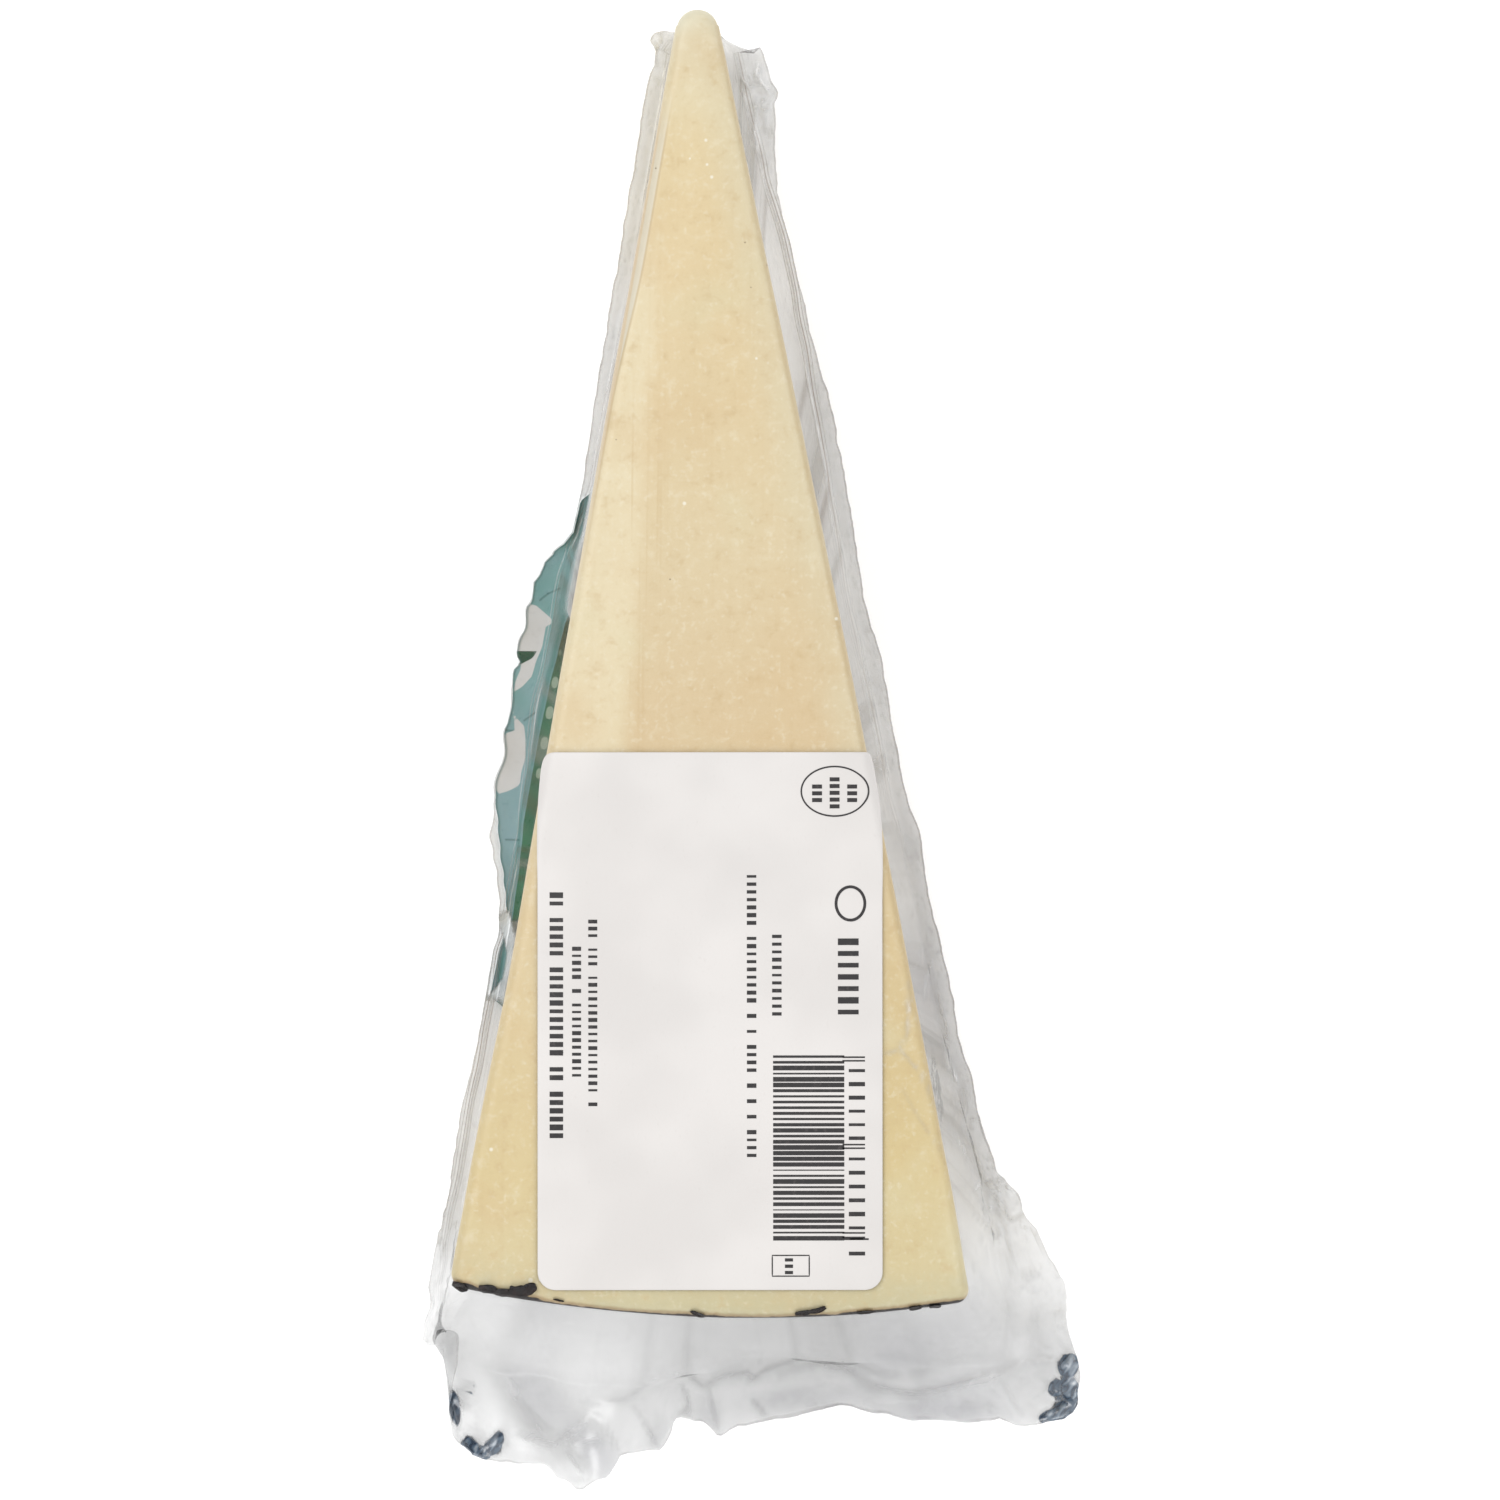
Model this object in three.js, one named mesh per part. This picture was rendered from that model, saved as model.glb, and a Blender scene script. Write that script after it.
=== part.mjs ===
// A vacuum-packed wedge of pecorino romano, lying on its front, with the back of the pack up.
// Millimetres, +Z up. +Y runs along the wedge to its thin end, and +X is to the right seen from above.
// The origin is on the surface that the pack rests on, midway between the thin end and the rind.
//
// The clear film is drawn tight over the cheese, so pack and cheese are one solid: the wedge, and the
// film's skirt, which runs out from the foot of the wedge on all sides.
// A white label is stuck on the back. A green one is on the front, and reaches out under the skirt.

import * as THREE from "three";

const { degToRad, lerp, smoothstep, clamp } = THREE.MathUtils;

// The wedge, cut from a slice of a round wheel of cheese
const WHEEL_RADIUS = 156;
const HALF_ANGLE = degToRad(10.65);
const WEDGE_THICKNESS = 40;
const TIP_ROUND = 2.5;
const RIND_CORNER_ROUND = 1.4;
const EDGE_ROUND = 1.6;
const SIDE_BULGE = 0.5;

// How far the wedge's back falls below its flat plane, and how far in from the edge the fall begins
const LEFT_BEVEL = { fall: 0.7, width: 8 };
const RIGHT_BEVEL = { fall: 0.3, width: 6 };
const TIP_BEVEL = { fall: 1.6, width: 9 };
const BEVEL_FULL_AT = 30; // the side bevels grow from nothing at the thin end to their full depth here

// The film's skirt
const SKIRT_THICKNESS = 0.8;
const SEAM_BEAD = 0.5;
const FILLET_POWER = 3.5; // how tightly the film turns from the wedge's sides out to the skirt
const LIFT_POWER = 1.6; // how late the skirt turns up on its way out to the rim
const RIPPLE_LENGTHS = [14.5, 6.9];
const RIPPLE_SHARES = [0.3, 0.2];

// The skirt's height at its rim, as [smooth, rippled] parts, on each stretch of the outline
const TIP_LIFT = [0.6, 1.6];
const CORNER_LIFT = [1.2, 3];
const SIDE_LIFT = [0.3, 0.9];
const LABELLED_LIFT = [0.2, 0.5]; // where the green label stiffens it
const LABELLED_FROM = [54, 62];
const LABELLED_TO = [96, 104];
const SIDE_END_LIFT = 1.2; // added towards the rind
const SIDE_END_FROM = 118;
const RIND_LIFT = [0.4, 1.4];
const LIFT_PER_DRAW = 0.7; // and on the rind, for each millimetre that the rim is drawn in

// The labels. The gap under a label keeps it clear of the film.
const LABEL_THICKNESS = 0.6;
const LABEL_GAP = 0.3;
const BACK_LABEL = { width: 38.3, length: 59.7, corner: 2, centre: -39.5, turn: degToRad(-0.7) };
const BACK_LABEL_STEPS = { corner: 4, across: 14, along: 10 };
const BACK_LABEL_RINGS = [0.3, 0.6, 0.8, 0.85, 0.89, 0.93, 0.97, 1];
const FRONT_LABEL = { from: 50.5, to: 127, rightMargin: 0.6, endWidth: 0.3, endPower: 6, bendFrom: 2.5 };
const FRONT_LABEL_STEPS = { flat: 6, bent: 7 };

// How far things reach out from the wedge, as [place, reach] pairs.
// A place on a side is the distance from the thin end, and a place on the rind is X.
const LEFT_SKIRT = [
  [1, 3.3], [4, 2.8], [8, 3.0], [38, 2.9], [47, 2.7], [52, 2.4], [57, 2.7], [62, 5.3], [67, 6.2],
  [76, 6.7], [81, 6.8], [86, 6.3], [90, 6.4], [95, 6.0], [99, 4.5], [104, 3.4], [109, 3.6], [118, 3.3],
  [127, 3.9], [137, 3.7], [142, 4.2], [145, 4.1],
];
const RIGHT_SKIRT = [
  [1, 4.1], [3, 4.9], [6, 5.2], [7.5, 5.7], [9, 5.0], [15, 4.0], [19, 3.5], [29, 3.9], [48, 4.7],
  [57, 4.5], [67, 4.0], [74, 4.6], [86, 4.2], [91, 4.4], [95, 5.1], [100, 4.6], [110, 4.9], [114, 5.0],
  [119, 4.7], [124, 5.4], [129, 5.2], [134, 6.0], [139, 8.2], [145, 9.9],
];
const RIND_SKIRT = [
  [-27, 18.8], [-24, 20.9], [-18, 20.7], [-16, 22.2], [-14, 23.2], [-12, 21.8], [-10, 18.6], [-6, 17.9],
  [-3.9, 14.3], [-1.8, 14.3], [0.3, 16.1], [2.4, 14.8], [7, 14.1], [13, 13.1], [17, 14.4], [21, 15.8],
  [29, 17.6],
];
const LEFT_SEAM = [[0, 0.9], [52, 1.1], [57, 1.4], [63, 2.7], [92, 2.6], [101, 1.6], [145, 1.9]];
const RIGHT_SEAM = [[0, 1.4], [30, 2.0], [112, 2.5], [145, 4.2]];
const RIND_SEAM = [[-29, 11], [-20, 12], [-9, 11.2], [-2, 9.2], [5, 7], [16, 8.2], [29, 10.5]];
const TIP_SEAM = 0.5;

// The skirt's corners, from the side round to the end, as [out from the side, out from the end] pairs
const LEFT_RIND_CORNER = [
  [4.1, 1.4], [3.7, 6.1], [4.0, 8.7], [2.7, 9.4], [0.8, 8.5], [-0.6, 9.6], [-0.4, 14.8], [-1.8, 18.1],
  [-3.0, 19.6], [-4.6, 20.9],
];
const RIGHT_RIND_CORNER = [
  [10.0, 0.8], [11.4, 4.4], [10.8, 8.4], [10.9, 13.1], [10.3, 16.6], [9.3, 18.7], [7.5, 19.6],
  [5.0, 19.5], [2.5, 19.2], [0.7, 17.8],
];
const LEFT_TIP_CORNER = [[3.3, -1.0], [3.6, -0.2], [3.1, 0.6], [1.9, 0.9], [0.8, 0.6], [0, 0.8]];
const RIGHT_TIP_CORNER = [[4.1, -2.0], [3.4, -1.5], [2.2, -1.1], [1.0, -0.4], [0.4, 0.4], [0, 0.8]];

// The green label's left edge, as [distance from the thin end, reach] pairs
const FRONT_LABEL_REACH = [
  [52, -7], [53.5, 1.1], [58, 2.2], [62, 4.8], [67, 5.8], [76, 6.3], [88, 5.7], [94, 5.3], [97, 4.2],
  [100, 3.0], [105, 2.5], [112.5, 2.8], [115, 0], [119, -3], [127, -11],
];

// The steps round half of the outline
const TIP_STEPS = 7;
const SIDE_STEPS = 56;
const CORNER_STEPS = 9;
const RIND_STEPS = 20;

const TIP_DISTANCE = TIP_ROUND / Math.sin(HALF_ANGLE) - TIP_ROUND; // from the wheel's middle
const SIDE_LENGTH = WHEEL_RADIUS - TIP_DISTANCE;
const APEX_Y = (WHEEL_RADIUS + TIP_DISTANCE) / 2; // the wheel's middle
const TIP_Y = APEX_Y - TIP_DISTANCE;
const HALF_WIDTH = WHEEL_RADIUS * Math.sin(HALF_ANGLE); // at the rind
const UNDERSIDE_Z = LABEL_THICKNESS + LABEL_GAP;
const BACK_Z = UNDERSIDE_Z + WEDGE_THICKNESS;

// A smooth curve through [place, value] keys, read at one place
function profile(keys, place) {
  const last = keys.length - 1;
  let i = 0;
  while (i < last - 1 && place > keys[i + 1][0]) i += 1;
  return lerp(keys[i][1], keys[i + 1][1], smoothstep(place, keys[i][0], keys[i + 1][0]));
}

// The point at a share of the steps along a list of pairs
function cornerPair(pairs, share) {
  const at = share * (pairs.length - 1);
  const i = Math.min(Math.floor(at), pairs.length - 2);
  return [lerp(pairs[i][0], pairs[i + 1][0], at - i), lerp(pairs[i][1], pairs[i + 1][1], at - i)];
}

// How far a side of the wedge bulges out, at a distance from the wheel's middle
function sideBulge(radius) {
  return SIDE_BULGE * Math.sin((Math.PI * radius) / WHEEL_RADIUS);
}

// Half of the outline, on the side that sign names, from the thin end to the middle of the rind.
// A station holds its point on the wedge, and its points on the seam and on the skirt's rim.
function halfOutline(sign) {
  const right = sign > 0;
  const skirtKeys = right ? RIGHT_SKIRT : LEFT_SKIRT;
  const seamKeys = right ? RIGHT_SEAM : LEFT_SEAM;
  const tipPairs = right ? RIGHT_TIP_CORNER : LEFT_TIP_CORNER;
  const rindPairs = right ? RIGHT_RIND_CORNER : LEFT_RIND_CORNER;
  const apex = new THREE.Vector2(0, APEX_Y);
  const sideNormal = new THREE.Vector2(sign * Math.cos(HALF_ANGLE), Math.sin(HALF_ANGLE));
  const rindNormal = (angle) => new THREE.Vector2(sign * Math.sin(angle), -Math.cos(angle));
  const fromApex = (radius, angle) => apex.clone().addScaledVector(rindNormal(angle), radius);
  const stations = [];

  // the thin end, from its middle to where the side begins
  const tipMiddle = new THREE.Vector2(0, TIP_Y - TIP_ROUND);
  for (let i = 0; i < TIP_STEPS; i += 1) {
    const share = i / TIP_STEPS;
    const angle = lerp(Math.PI / 2, HALF_ANGLE, share);
    const normal = new THREE.Vector2(sign * Math.cos(angle), Math.sin(angle));
    const [out, past] = cornerPair(tipPairs, 1 - share);
    const half = (APEX_Y - TIP_Y - Math.min(past, 0)) * Math.tan(HALF_ANGLE);
    const rimX = i === 0 ? 0 : half * smoothstep(share, 0, 0.3) + out;
    stations.push({
      zone: "tip",
      wedge: tipMiddle.clone().addScaledVector(normal, TIP_ROUND),
      seam: tipMiddle.clone().addScaledVector(normal, TIP_ROUND + lerp(TIP_SEAM, seamKeys[0][1], share)),
      rim: new THREE.Vector2(sign * rimX, TIP_Y + past),
      normal,
    });
  }

  // the side
  const sideStart = TIP_ROUND / Math.tan(HALF_ANGLE);
  const sideEnd = WHEEL_RADIUS - RIND_CORNER_ROUND;
  for (let i = 0; i < SIDE_STEPS; i += 1) {
    const radius = lerp(sideStart, sideEnd, i / SIDE_STEPS);
    const along = radius - TIP_DISTANCE;
    const line = fromApex(radius, HALF_ANGLE);
    stations.push({
      zone: "side",
      along,
      wedge: line.clone().addScaledVector(sideNormal, sideBulge(radius)),
      seam: line.clone().addScaledVector(sideNormal, sideBulge(radius) + profile(seamKeys, along)),
      rim: line.clone().addScaledVector(sideNormal, profile(skirtKeys, along)),
      normal: sideNormal,
    });
  }

  // the corner between side and rind
  const corner = fromApex(WHEEL_RADIUS, HALF_ANGLE);
  const endNormal = rindNormal(HALF_ANGLE);
  const fromCorner = (out, past) =>
    corner.clone().addScaledVector(sideNormal, out).addScaledVector(endNormal, past);
  const roundMiddle = fromCorner(-RIND_CORNER_ROUND, -RIND_CORNER_ROUND);
  const sideSeam = profile(seamKeys, SIDE_LENGTH);
  const rindSeam = profile(RIND_SEAM, sign * HALF_WIDTH);
  for (let i = 0; i < CORNER_STEPS; i += 1) {
    const share = i / CORNER_STEPS;
    const turn = (share * Math.PI) / 2;
    const normal = sideNormal.clone().multiplyScalar(Math.cos(turn)).addScaledVector(endNormal, Math.sin(turn));
    stations.push({
      zone: "corner",
      wedge: roundMiddle.clone().addScaledVector(normal, RIND_CORNER_ROUND),
      seam: fromCorner(sideSeam * Math.sqrt(Math.cos(turn)), rindSeam * Math.sqrt(Math.sin(turn))),
      rim: fromCorner(...cornerPair(rindPairs, share)),
      normal,
    });
  }

  // the rind, to its middle
  const rindAngle = HALF_ANGLE - RIND_CORNER_ROUND / WHEEL_RADIUS;
  const rimAngle = (HALF_WIDTH + rindPairs.at(-1)[0]) / WHEEL_RADIUS;
  const widest = Math.max(...RIND_SKIRT.map(([, reach]) => reach));
  for (let i = 0; i <= RIND_STEPS; i += 1) {
    const share = i / RIND_STEPS;
    const angle = lerp(rindAngle, 0, share);
    const seamPlace = sign * WHEEL_RADIUS * Math.sin(angle);
    const rimPlace = sign * WHEEL_RADIUS * Math.sin(lerp(rimAngle, 0, share));
    const reach = profile(RIND_SKIRT, rimPlace);
    stations.push({
      zone: "rind",
      drawn: widest - reach,
      wedge: fromApex(WHEEL_RADIUS, angle),
      seam: fromApex(WHEEL_RADIUS + profile(RIND_SEAM, seamPlace), angle),
      rim: fromApex(WHEEL_RADIUS + reach, lerp(rimAngle, 0, share)),
      normal: rindNormal(angle),
    });
  }
  return stations;
}

// The whole outline, counter-clockwise seen from above: down the left side and up the right.
// Each station also gets its distance along the rim, which the ripples follow.
function wholeOutline() {
  const stations = [...halfOutline(-1), ...halfOutline(1).slice(1, -1).reverse()];
  let run = 0;
  stations.forEach((station, i) => {
    if (i > 0) run += station.rim.distanceTo(stations[i - 1].rim);
    station.run = run;
  });
  return stations;
}

// How far the wedge's back lies under its flat plane at a point
function backDrop(x, y) {
  const half = (APEX_Y - y) * Math.tan(HALF_ANGLE);
  const drop = ({ fall, width }, distance) => fall * (1 - smoothstep(distance, 0, width));
  const sides = drop(LEFT_BEVEL, half + x) + drop(RIGHT_BEVEL, half - x);
  return sides * smoothstep(TIP_Y - y, 0, BEVEL_FULL_AT) + drop(TIP_BEVEL, TIP_Y - y);
}

// How high the skirt stands at its rim
function rimLift({ zone, along, drawn, run, wedge }) {
  const waves = RIPPLE_LENGTHS.map((length, i) => RIPPLE_SHARES[i] * Math.sin((2 * Math.PI * run) / length));
  const ripple = 0.5 + waves[0] + waves[1];
  const lift = ([smooth, rippled]) => smooth + rippled * ripple;
  if (zone === "tip") return lift(TIP_LIFT);
  if (zone === "corner") return lift(CORNER_LIFT);
  if (zone === "rind") return lift(RIND_LIFT) + LIFT_PER_DRAW * drawn;
  const end = SIDE_END_LIFT * smoothstep(along, SIDE_END_FROM, SIDE_LENGTH);
  if (wedge.x > 0) return lift(SIDE_LIFT) + end;
  const labelled = smoothstep(along, ...LABELLED_FROM) - smoothstep(along, ...LABELLED_TO);
  return lerp(lift(SIDE_LIFT), lift(LABELLED_LIFT), labelled) + end;
}

// The height of the skirt's underside, at a share of the way from the seam to the rim
function skirtUnderside(station, share) {
  return UNDERSIDE_Z + rimLift(station) * share ** LIFT_POWER;
}

function indexedGeometry(points, index) {
  const geometry = new THREE.BufferGeometry();
  geometry.setAttribute("position", new THREE.Float32BufferAttribute(points.flat(), 3));
  geometry.setIndex(index);
  return geometry;
}

// A closed body from rings of points, the first at the top, each counter-clockwise seen from above
function bodyFromRings(rings, topPole, bottomPole) {
  const count = rings[0].length;
  const pole = rings.length * count;
  const foot = pole - count;
  const index = [];
  for (let i = 0; i < count; i += 1) {
    const next = (i + 1) % count;
    index.push(pole, i, next);
    for (let ring = 0; ring < foot; ring += count) {
      const [a, b] = [ring + i, ring + next];
      index.push(a, a + count, b, b, a + count, b + count);
    }
    index.push(pole + 1, foot + next, foot + i);
  }
  return indexedGeometry([...rings.flat(), topPole, bottomPole], index);
}

// The pack with its cheese: rings over the back, round its edge, down the sides, out along the skirt's
// upper face to the rim, and in again along its underside
function sealedPack() {
  const stations = wholeOutline();
  const middle = new THREE.Vector2(0, -25);
  const wallTop = BACK_Z - EDGE_ROUND;
  const seamTop = UNDERSIDE_Z + SKIRT_THICKNESS + SEAM_BEAD;
  const back = [0.3, 0.6, 0.8, 0.92].map((share) =>
    stations.map(({ wedge }) => {
      const { x, y } = middle.clone().lerp(wedge, share);
      return [x, y, BACK_Z - backDrop(x, y)];
    }),
  );
  const edge = [0, 45, 90].map(degToRad).map((turn) =>
    stations.map(({ wedge, normal }) => {
      const { x, y } = wedge.clone().addScaledVector(normal, EDGE_ROUND * (Math.sin(turn) - 1));
      return [x, y, wallTop + EDGE_ROUND * Math.cos(turn) - backDrop(x, y)];
    }),
  );
  const sides = [0.5, 0.24, 0.1].map((height) =>
    stations.map(({ wedge, seam }) => {
      const { x, y } = wedge.clone().lerp(seam, (1 - height) ** FILLET_POWER);
      return [x, y, lerp(seamTop, wallTop, height)];
    }),
  );
  const skirtRing = (share, thickness) =>
    stations.map((station) => {
      const { x, y } = station.seam.clone().lerp(station.rim, share);
      return [x, y, skirtUnderside(station, share) + thickness];
    });
  const upper = [
    skirtRing(0, SKIRT_THICKNESS + SEAM_BEAD),
    ...[0.16, 0.55, 1].map((share) => skirtRing(share, SKIRT_THICKNESS)),
  ];
  const lower = [1, 0.55, 0].map((share) => skirtRing(share, 0));
  const { x, y } = middle;
  const poles = [[x, y, BACK_Z - backDrop(x, y)], [x, y, UNDERSIDE_Z]];
  return bodyFromRings([...back, ...edge, ...sides, ...upper, ...lower], ...poles);
}

// A point of the white label, from its place across and along the label. Where the label is wider than
// the flat of the wedge's back, it turns down over the rounded edge.
function onBack(across, along, lift) {
  const { turn, centre } = BACK_LABEL;
  const x = across * Math.cos(turn) - along * Math.sin(turn);
  const y = centre + across * Math.sin(turn) + along * Math.cos(turn);
  const sign = x < 0 ? -1 : 1;
  const radius = APEX_Y - y;
  const flat = radius * Math.tan(HALF_ANGLE) + (sideBulge(radius) - EDGE_ROUND) / Math.cos(HALF_ANGLE);
  const over = Math.max(Math.abs(x) - flat, 0);
  const bend = Math.min(over / EDGE_ROUND, Math.PI / 2);
  const hanging = over - bend * EDGE_ROUND;
  const bentX = sign * (Math.min(Math.abs(x), flat) + (EDGE_ROUND + lift) * Math.sin(bend));
  const bentZ = BACK_Z - EDGE_ROUND + (EDGE_ROUND + lift) * Math.cos(bend) - hanging;
  return [bentX, y, bentZ - backDrop(bentX, y)];
}

// The white label's outline: a rectangle with rounded corners, counter-clockwise
function backLabelOutline() {
  const { width, length, corner } = BACK_LABEL;
  const { corner: turns, across, along } = BACK_LABEL_STEPS;
  const corners = [[1, -1], [1, 1], [-1, 1], [-1, -1]];
  const onCorner = (n, degrees) => [
    corners[n][0] * (width / 2 - corner) + corner * Math.cos(degToRad(degrees)),
    corners[n][1] * (length / 2 - corner) + corner * Math.sin(degToRad(degrees)),
  ];
  const outline = [];
  for (let n = 0; n < corners.length; n += 1) {
    const start = 90 * (n - 1);
    for (let k = 0; k < turns; k += 1) outline.push(onCorner(n, start + (90 * k) / turns));
    const from = onCorner(n, start + 90);
    const to = onCorner((n + 1) % corners.length, start + 90);
    const steps = n % 2 === 0 ? along : across;
    for (let k = 0; k < steps; k += 1) {
      outline.push([lerp(from[0], to[0], k / steps), lerp(from[1], to[1], k / steps)]);
    }
  }
  return outline;
}

// The white label: a sheet of an even thickness, laid over the wedge's back
function backLabel() {
  const outline = backLabelOutline();
  const upper = LABEL_GAP + LABEL_THICKNESS;
  const ring = (share, lift) => outline.map(([across, along]) => onBack(across * share, along * share, lift));
  const rings = [
    ...BACK_LABEL_RINGS.map((share) => ring(share, upper)),
    ...BACK_LABEL_RINGS.toReversed().map((share) => ring(share, LABEL_GAP)),
  ];
  return bodyFromRings(rings, onBack(0, 0, upper), onBack(0, 0, LABEL_GAP));
}

// The green label: rows across the pack's front, one to each station of the left side that it spans.
// A row runs from inside the wedge's right side to the label's left edge. It is flat as far as the
// seam, and then it rises with the skirt.
function frontLabel() {
  const { from, to, rightMargin, endWidth, endPower, bendFrom } = FRONT_LABEL;
  const { flat, bent } = FRONT_LABEL_STEPS;
  const stations = wholeOutline().filter(
    ({ zone, along, wedge }) => zone === "side" && wedge.x < 0 && along > from && along < to,
  );
  const last = stations.length - 1;
  const columns = flat + bent;

  const surface = (z) =>
    stations.flatMap((station, i) => {
      const { along, seam, rim, normal } = station;
      const radius = along + TIP_DISTANCE;
      const half = radius * Math.sin(HALF_ANGLE);
      const y = APEX_Y - radius * Math.cos(HALF_ANGLE);
      const seamReach = sideBulge(radius) + profile(LEFT_SEAM, along);
      const rimReach = profile(LEFT_SKIRT, along);
      const onLine = (reach) => {
        const share = clamp((reach - seamReach) / (rimReach - seamReach), 0, 1);
        const rise = skirtUnderside(station, share) - UNDERSIDE_Z;
        return [-half + reach * normal.x, y + reach * normal.y, z + rise];
      };
      const width = Math.max(Math.sqrt(1 - ((2 * i) / last - 1) ** endPower), endWidth);
      const right = [(half - rightMargin) * width, y, z];
      const reach = profile(FRONT_LABEL_REACH, along);
      const bend = Math.min(reach, seamReach) - bendFrom;
      const left = onLine(bend);
      const row = [];
      for (let j = 0; j < flat; j += 1) row.push(right.map((value, k) => lerp(value, left[k], j / flat)));
      for (let j = 0; j <= bent; j += 1) row.push(onLine(lerp(bend, reach, j / bent)));
      return row;
    });

  const row = columns + 1;
  const lower = row * stations.length;
  const index = [];
  for (let i = 0; i < last; i += 1) {
    for (let j = 0; j < columns; j += 1) {
      const a = i * row + j;
      const b = lower + a;
      index.push(a, a + 1, a + row, a + 1, a + row + 1, a + row);
      index.push(b, b + row, b + 1, b + 1, b + row, b + row + 1);
    }
  }
  const rim = [];
  for (let j = 0; j < columns; j += 1) rim.push(j);
  for (let i = 0; i < last; i += 1) rim.push(i * row + columns);
  for (let j = columns; j > 0; j -= 1) rim.push(last * row + j);
  for (let i = last; i > 0; i -= 1) rim.push(i * row);
  rim.forEach((a, i) => {
    const b = rim[(i + 1) % rim.length];
    index.push(a, lower + a, b, b, lower + a, lower + b);
  });
  return indexedGeometry([...surface(LABEL_THICKNESS), ...surface(0)], index);
}

function piece(name, geometry, color, roughness) {
  geometry.computeVertexNormals();
  const material = new THREE.MeshStandardMaterial({ color, roughness, metalness: 0 });
  const mesh = new THREE.Mesh(geometry, material);
  mesh.name = name;
  return mesh;
}

const pack = new THREE.Group();
pack.add(piece("sealed_pack", sealedPack(), 0xe8d6a6, 0.25));
pack.add(piece("back_label", backLabel(), 0xe9e6e2, 0.55));
pack.add(piece("front_label", frontLabel(), 0x1f6b52, 0.35));

export default pack;
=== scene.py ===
"""The look of a vacuum-packed wedge of hard sheep's cheese, lying on its front.

The clear film is drawn tight over the wedge and runs out from its foot as a crinkled skirt. A white
label is stuck on the back. A green one is on the front, and shows through the skirt on the left.

Sizes in the classes are in millimetres, in the CAD frame: +Y runs along the wedge to its thin end,
+X is to the right seen from above, and the origin is on the surface that the pack rests on. Along is
the distance from the thin end down a side, and reach the distance out from that side.
"""

from __future__ import annotations

import logging
import math
from collections.abc import Callable, Mapping, Sequence
from dataclasses import dataclass, field
from enum import Enum, IntEnum
from typing import Any

import bpy
import numpy as np
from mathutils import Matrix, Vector, noise


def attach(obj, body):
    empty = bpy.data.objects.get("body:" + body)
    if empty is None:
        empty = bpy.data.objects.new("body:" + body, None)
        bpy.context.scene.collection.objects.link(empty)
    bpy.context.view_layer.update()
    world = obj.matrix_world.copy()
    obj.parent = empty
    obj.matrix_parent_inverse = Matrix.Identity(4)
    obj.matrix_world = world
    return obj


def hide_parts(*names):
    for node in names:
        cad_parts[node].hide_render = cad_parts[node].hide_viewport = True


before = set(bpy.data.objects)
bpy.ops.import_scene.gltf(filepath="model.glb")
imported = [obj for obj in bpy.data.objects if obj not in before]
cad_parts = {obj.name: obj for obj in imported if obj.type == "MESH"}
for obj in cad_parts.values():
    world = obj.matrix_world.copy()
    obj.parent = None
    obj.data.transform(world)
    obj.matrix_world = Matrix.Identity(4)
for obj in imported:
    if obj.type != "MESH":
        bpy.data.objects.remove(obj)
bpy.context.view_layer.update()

LOG = logging.getLogger("scene")
MM = 0.001
BODY = "root"
LIGHT_LEVEL = 1.63  # how brightly the studio lights a white surface that faces up
MIDDLE = np.array([0.0, -25.0])  # the middle of the rings that make the film and the cheese

Keys = Sequence[tuple[float, float]]
Path = Sequence[tuple[float, float]]
Color = tuple[float, float, float, float]
Inputs = Mapping[Any, Any]
Piece = bpy.types.Object
Material = bpy.types.Material


class Slot(Enum):
    """The record's material slots."""

    FILM = "film"
    CHEESE = "cheese"
    WHITE_LABEL = "white_label"
    GREEN_LABEL = "green_label"


class Zone(IntEnum):
    """The stretches of the outline."""

    TIP = 0
    SIDE = 1
    CORNER = 2
    RIND = 3


# ---------------------------------------------------------------------------------------------------
# Curves, distances and creases


def smoothstep(values: Any, low: float = 0.0, high: float = 1.0) -> Any:
    """A smooth rise from 0 at low to 1 at high.

    Args:
        values: A number or an array.
        low: Where the rise begins.
        high: Where it ends.

    Returns:
        The share of the rise at each value.
    """
    share = np.clip((np.asarray(values, dtype=float) - low) / (high - low), 0.0, 1.0)
    return share * share * (3.0 - 2.0 * share)


def profile(keys: Keys, places: Any) -> Any:
    """A smooth curve through [place, value] keys.

    Args:
        keys: The keys, in the order of their places.
        places: Where the curve is read.

    Returns:
        The curve's values.
    """
    at, value = np.array(keys, dtype=float).T
    places = np.asarray(places, dtype=float)
    i = np.clip(np.searchsorted(at, places) - 1, 0, len(at) - 2)
    return value[i] + (value[i + 1] - value[i]) * smoothstep((places - at[i]) / (at[i + 1] - at[i]))


def along_path(path: Path, shares: Any) -> np.ndarray:
    """Points on a smooth curve through a path's points.

    Args:
        path: The points that the curve runs through.
        shares: How far along the path, from 0 to 1.

    Returns:
        One point for each share.
    """
    points = np.array(path, dtype=float)
    padded = np.vstack([2 * points[0] - points[1], points, 2 * points[-1] - points[-2]])
    at = np.clip(np.asarray(shares, dtype=float), 0.0, 1.0) * (len(points) - 1)
    i = np.minimum(at.astype(int), len(points) - 2)
    t = (at - i)[:, None]
    a, b, c, d = (padded[i + k] for k in range(4))
    return 0.5 * (2 * b + (c - a) * t + (2 * a - 5 * b + 4 * c - d) * t**2 + (3 * b - a - 3 * c + d) * t**3)


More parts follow.
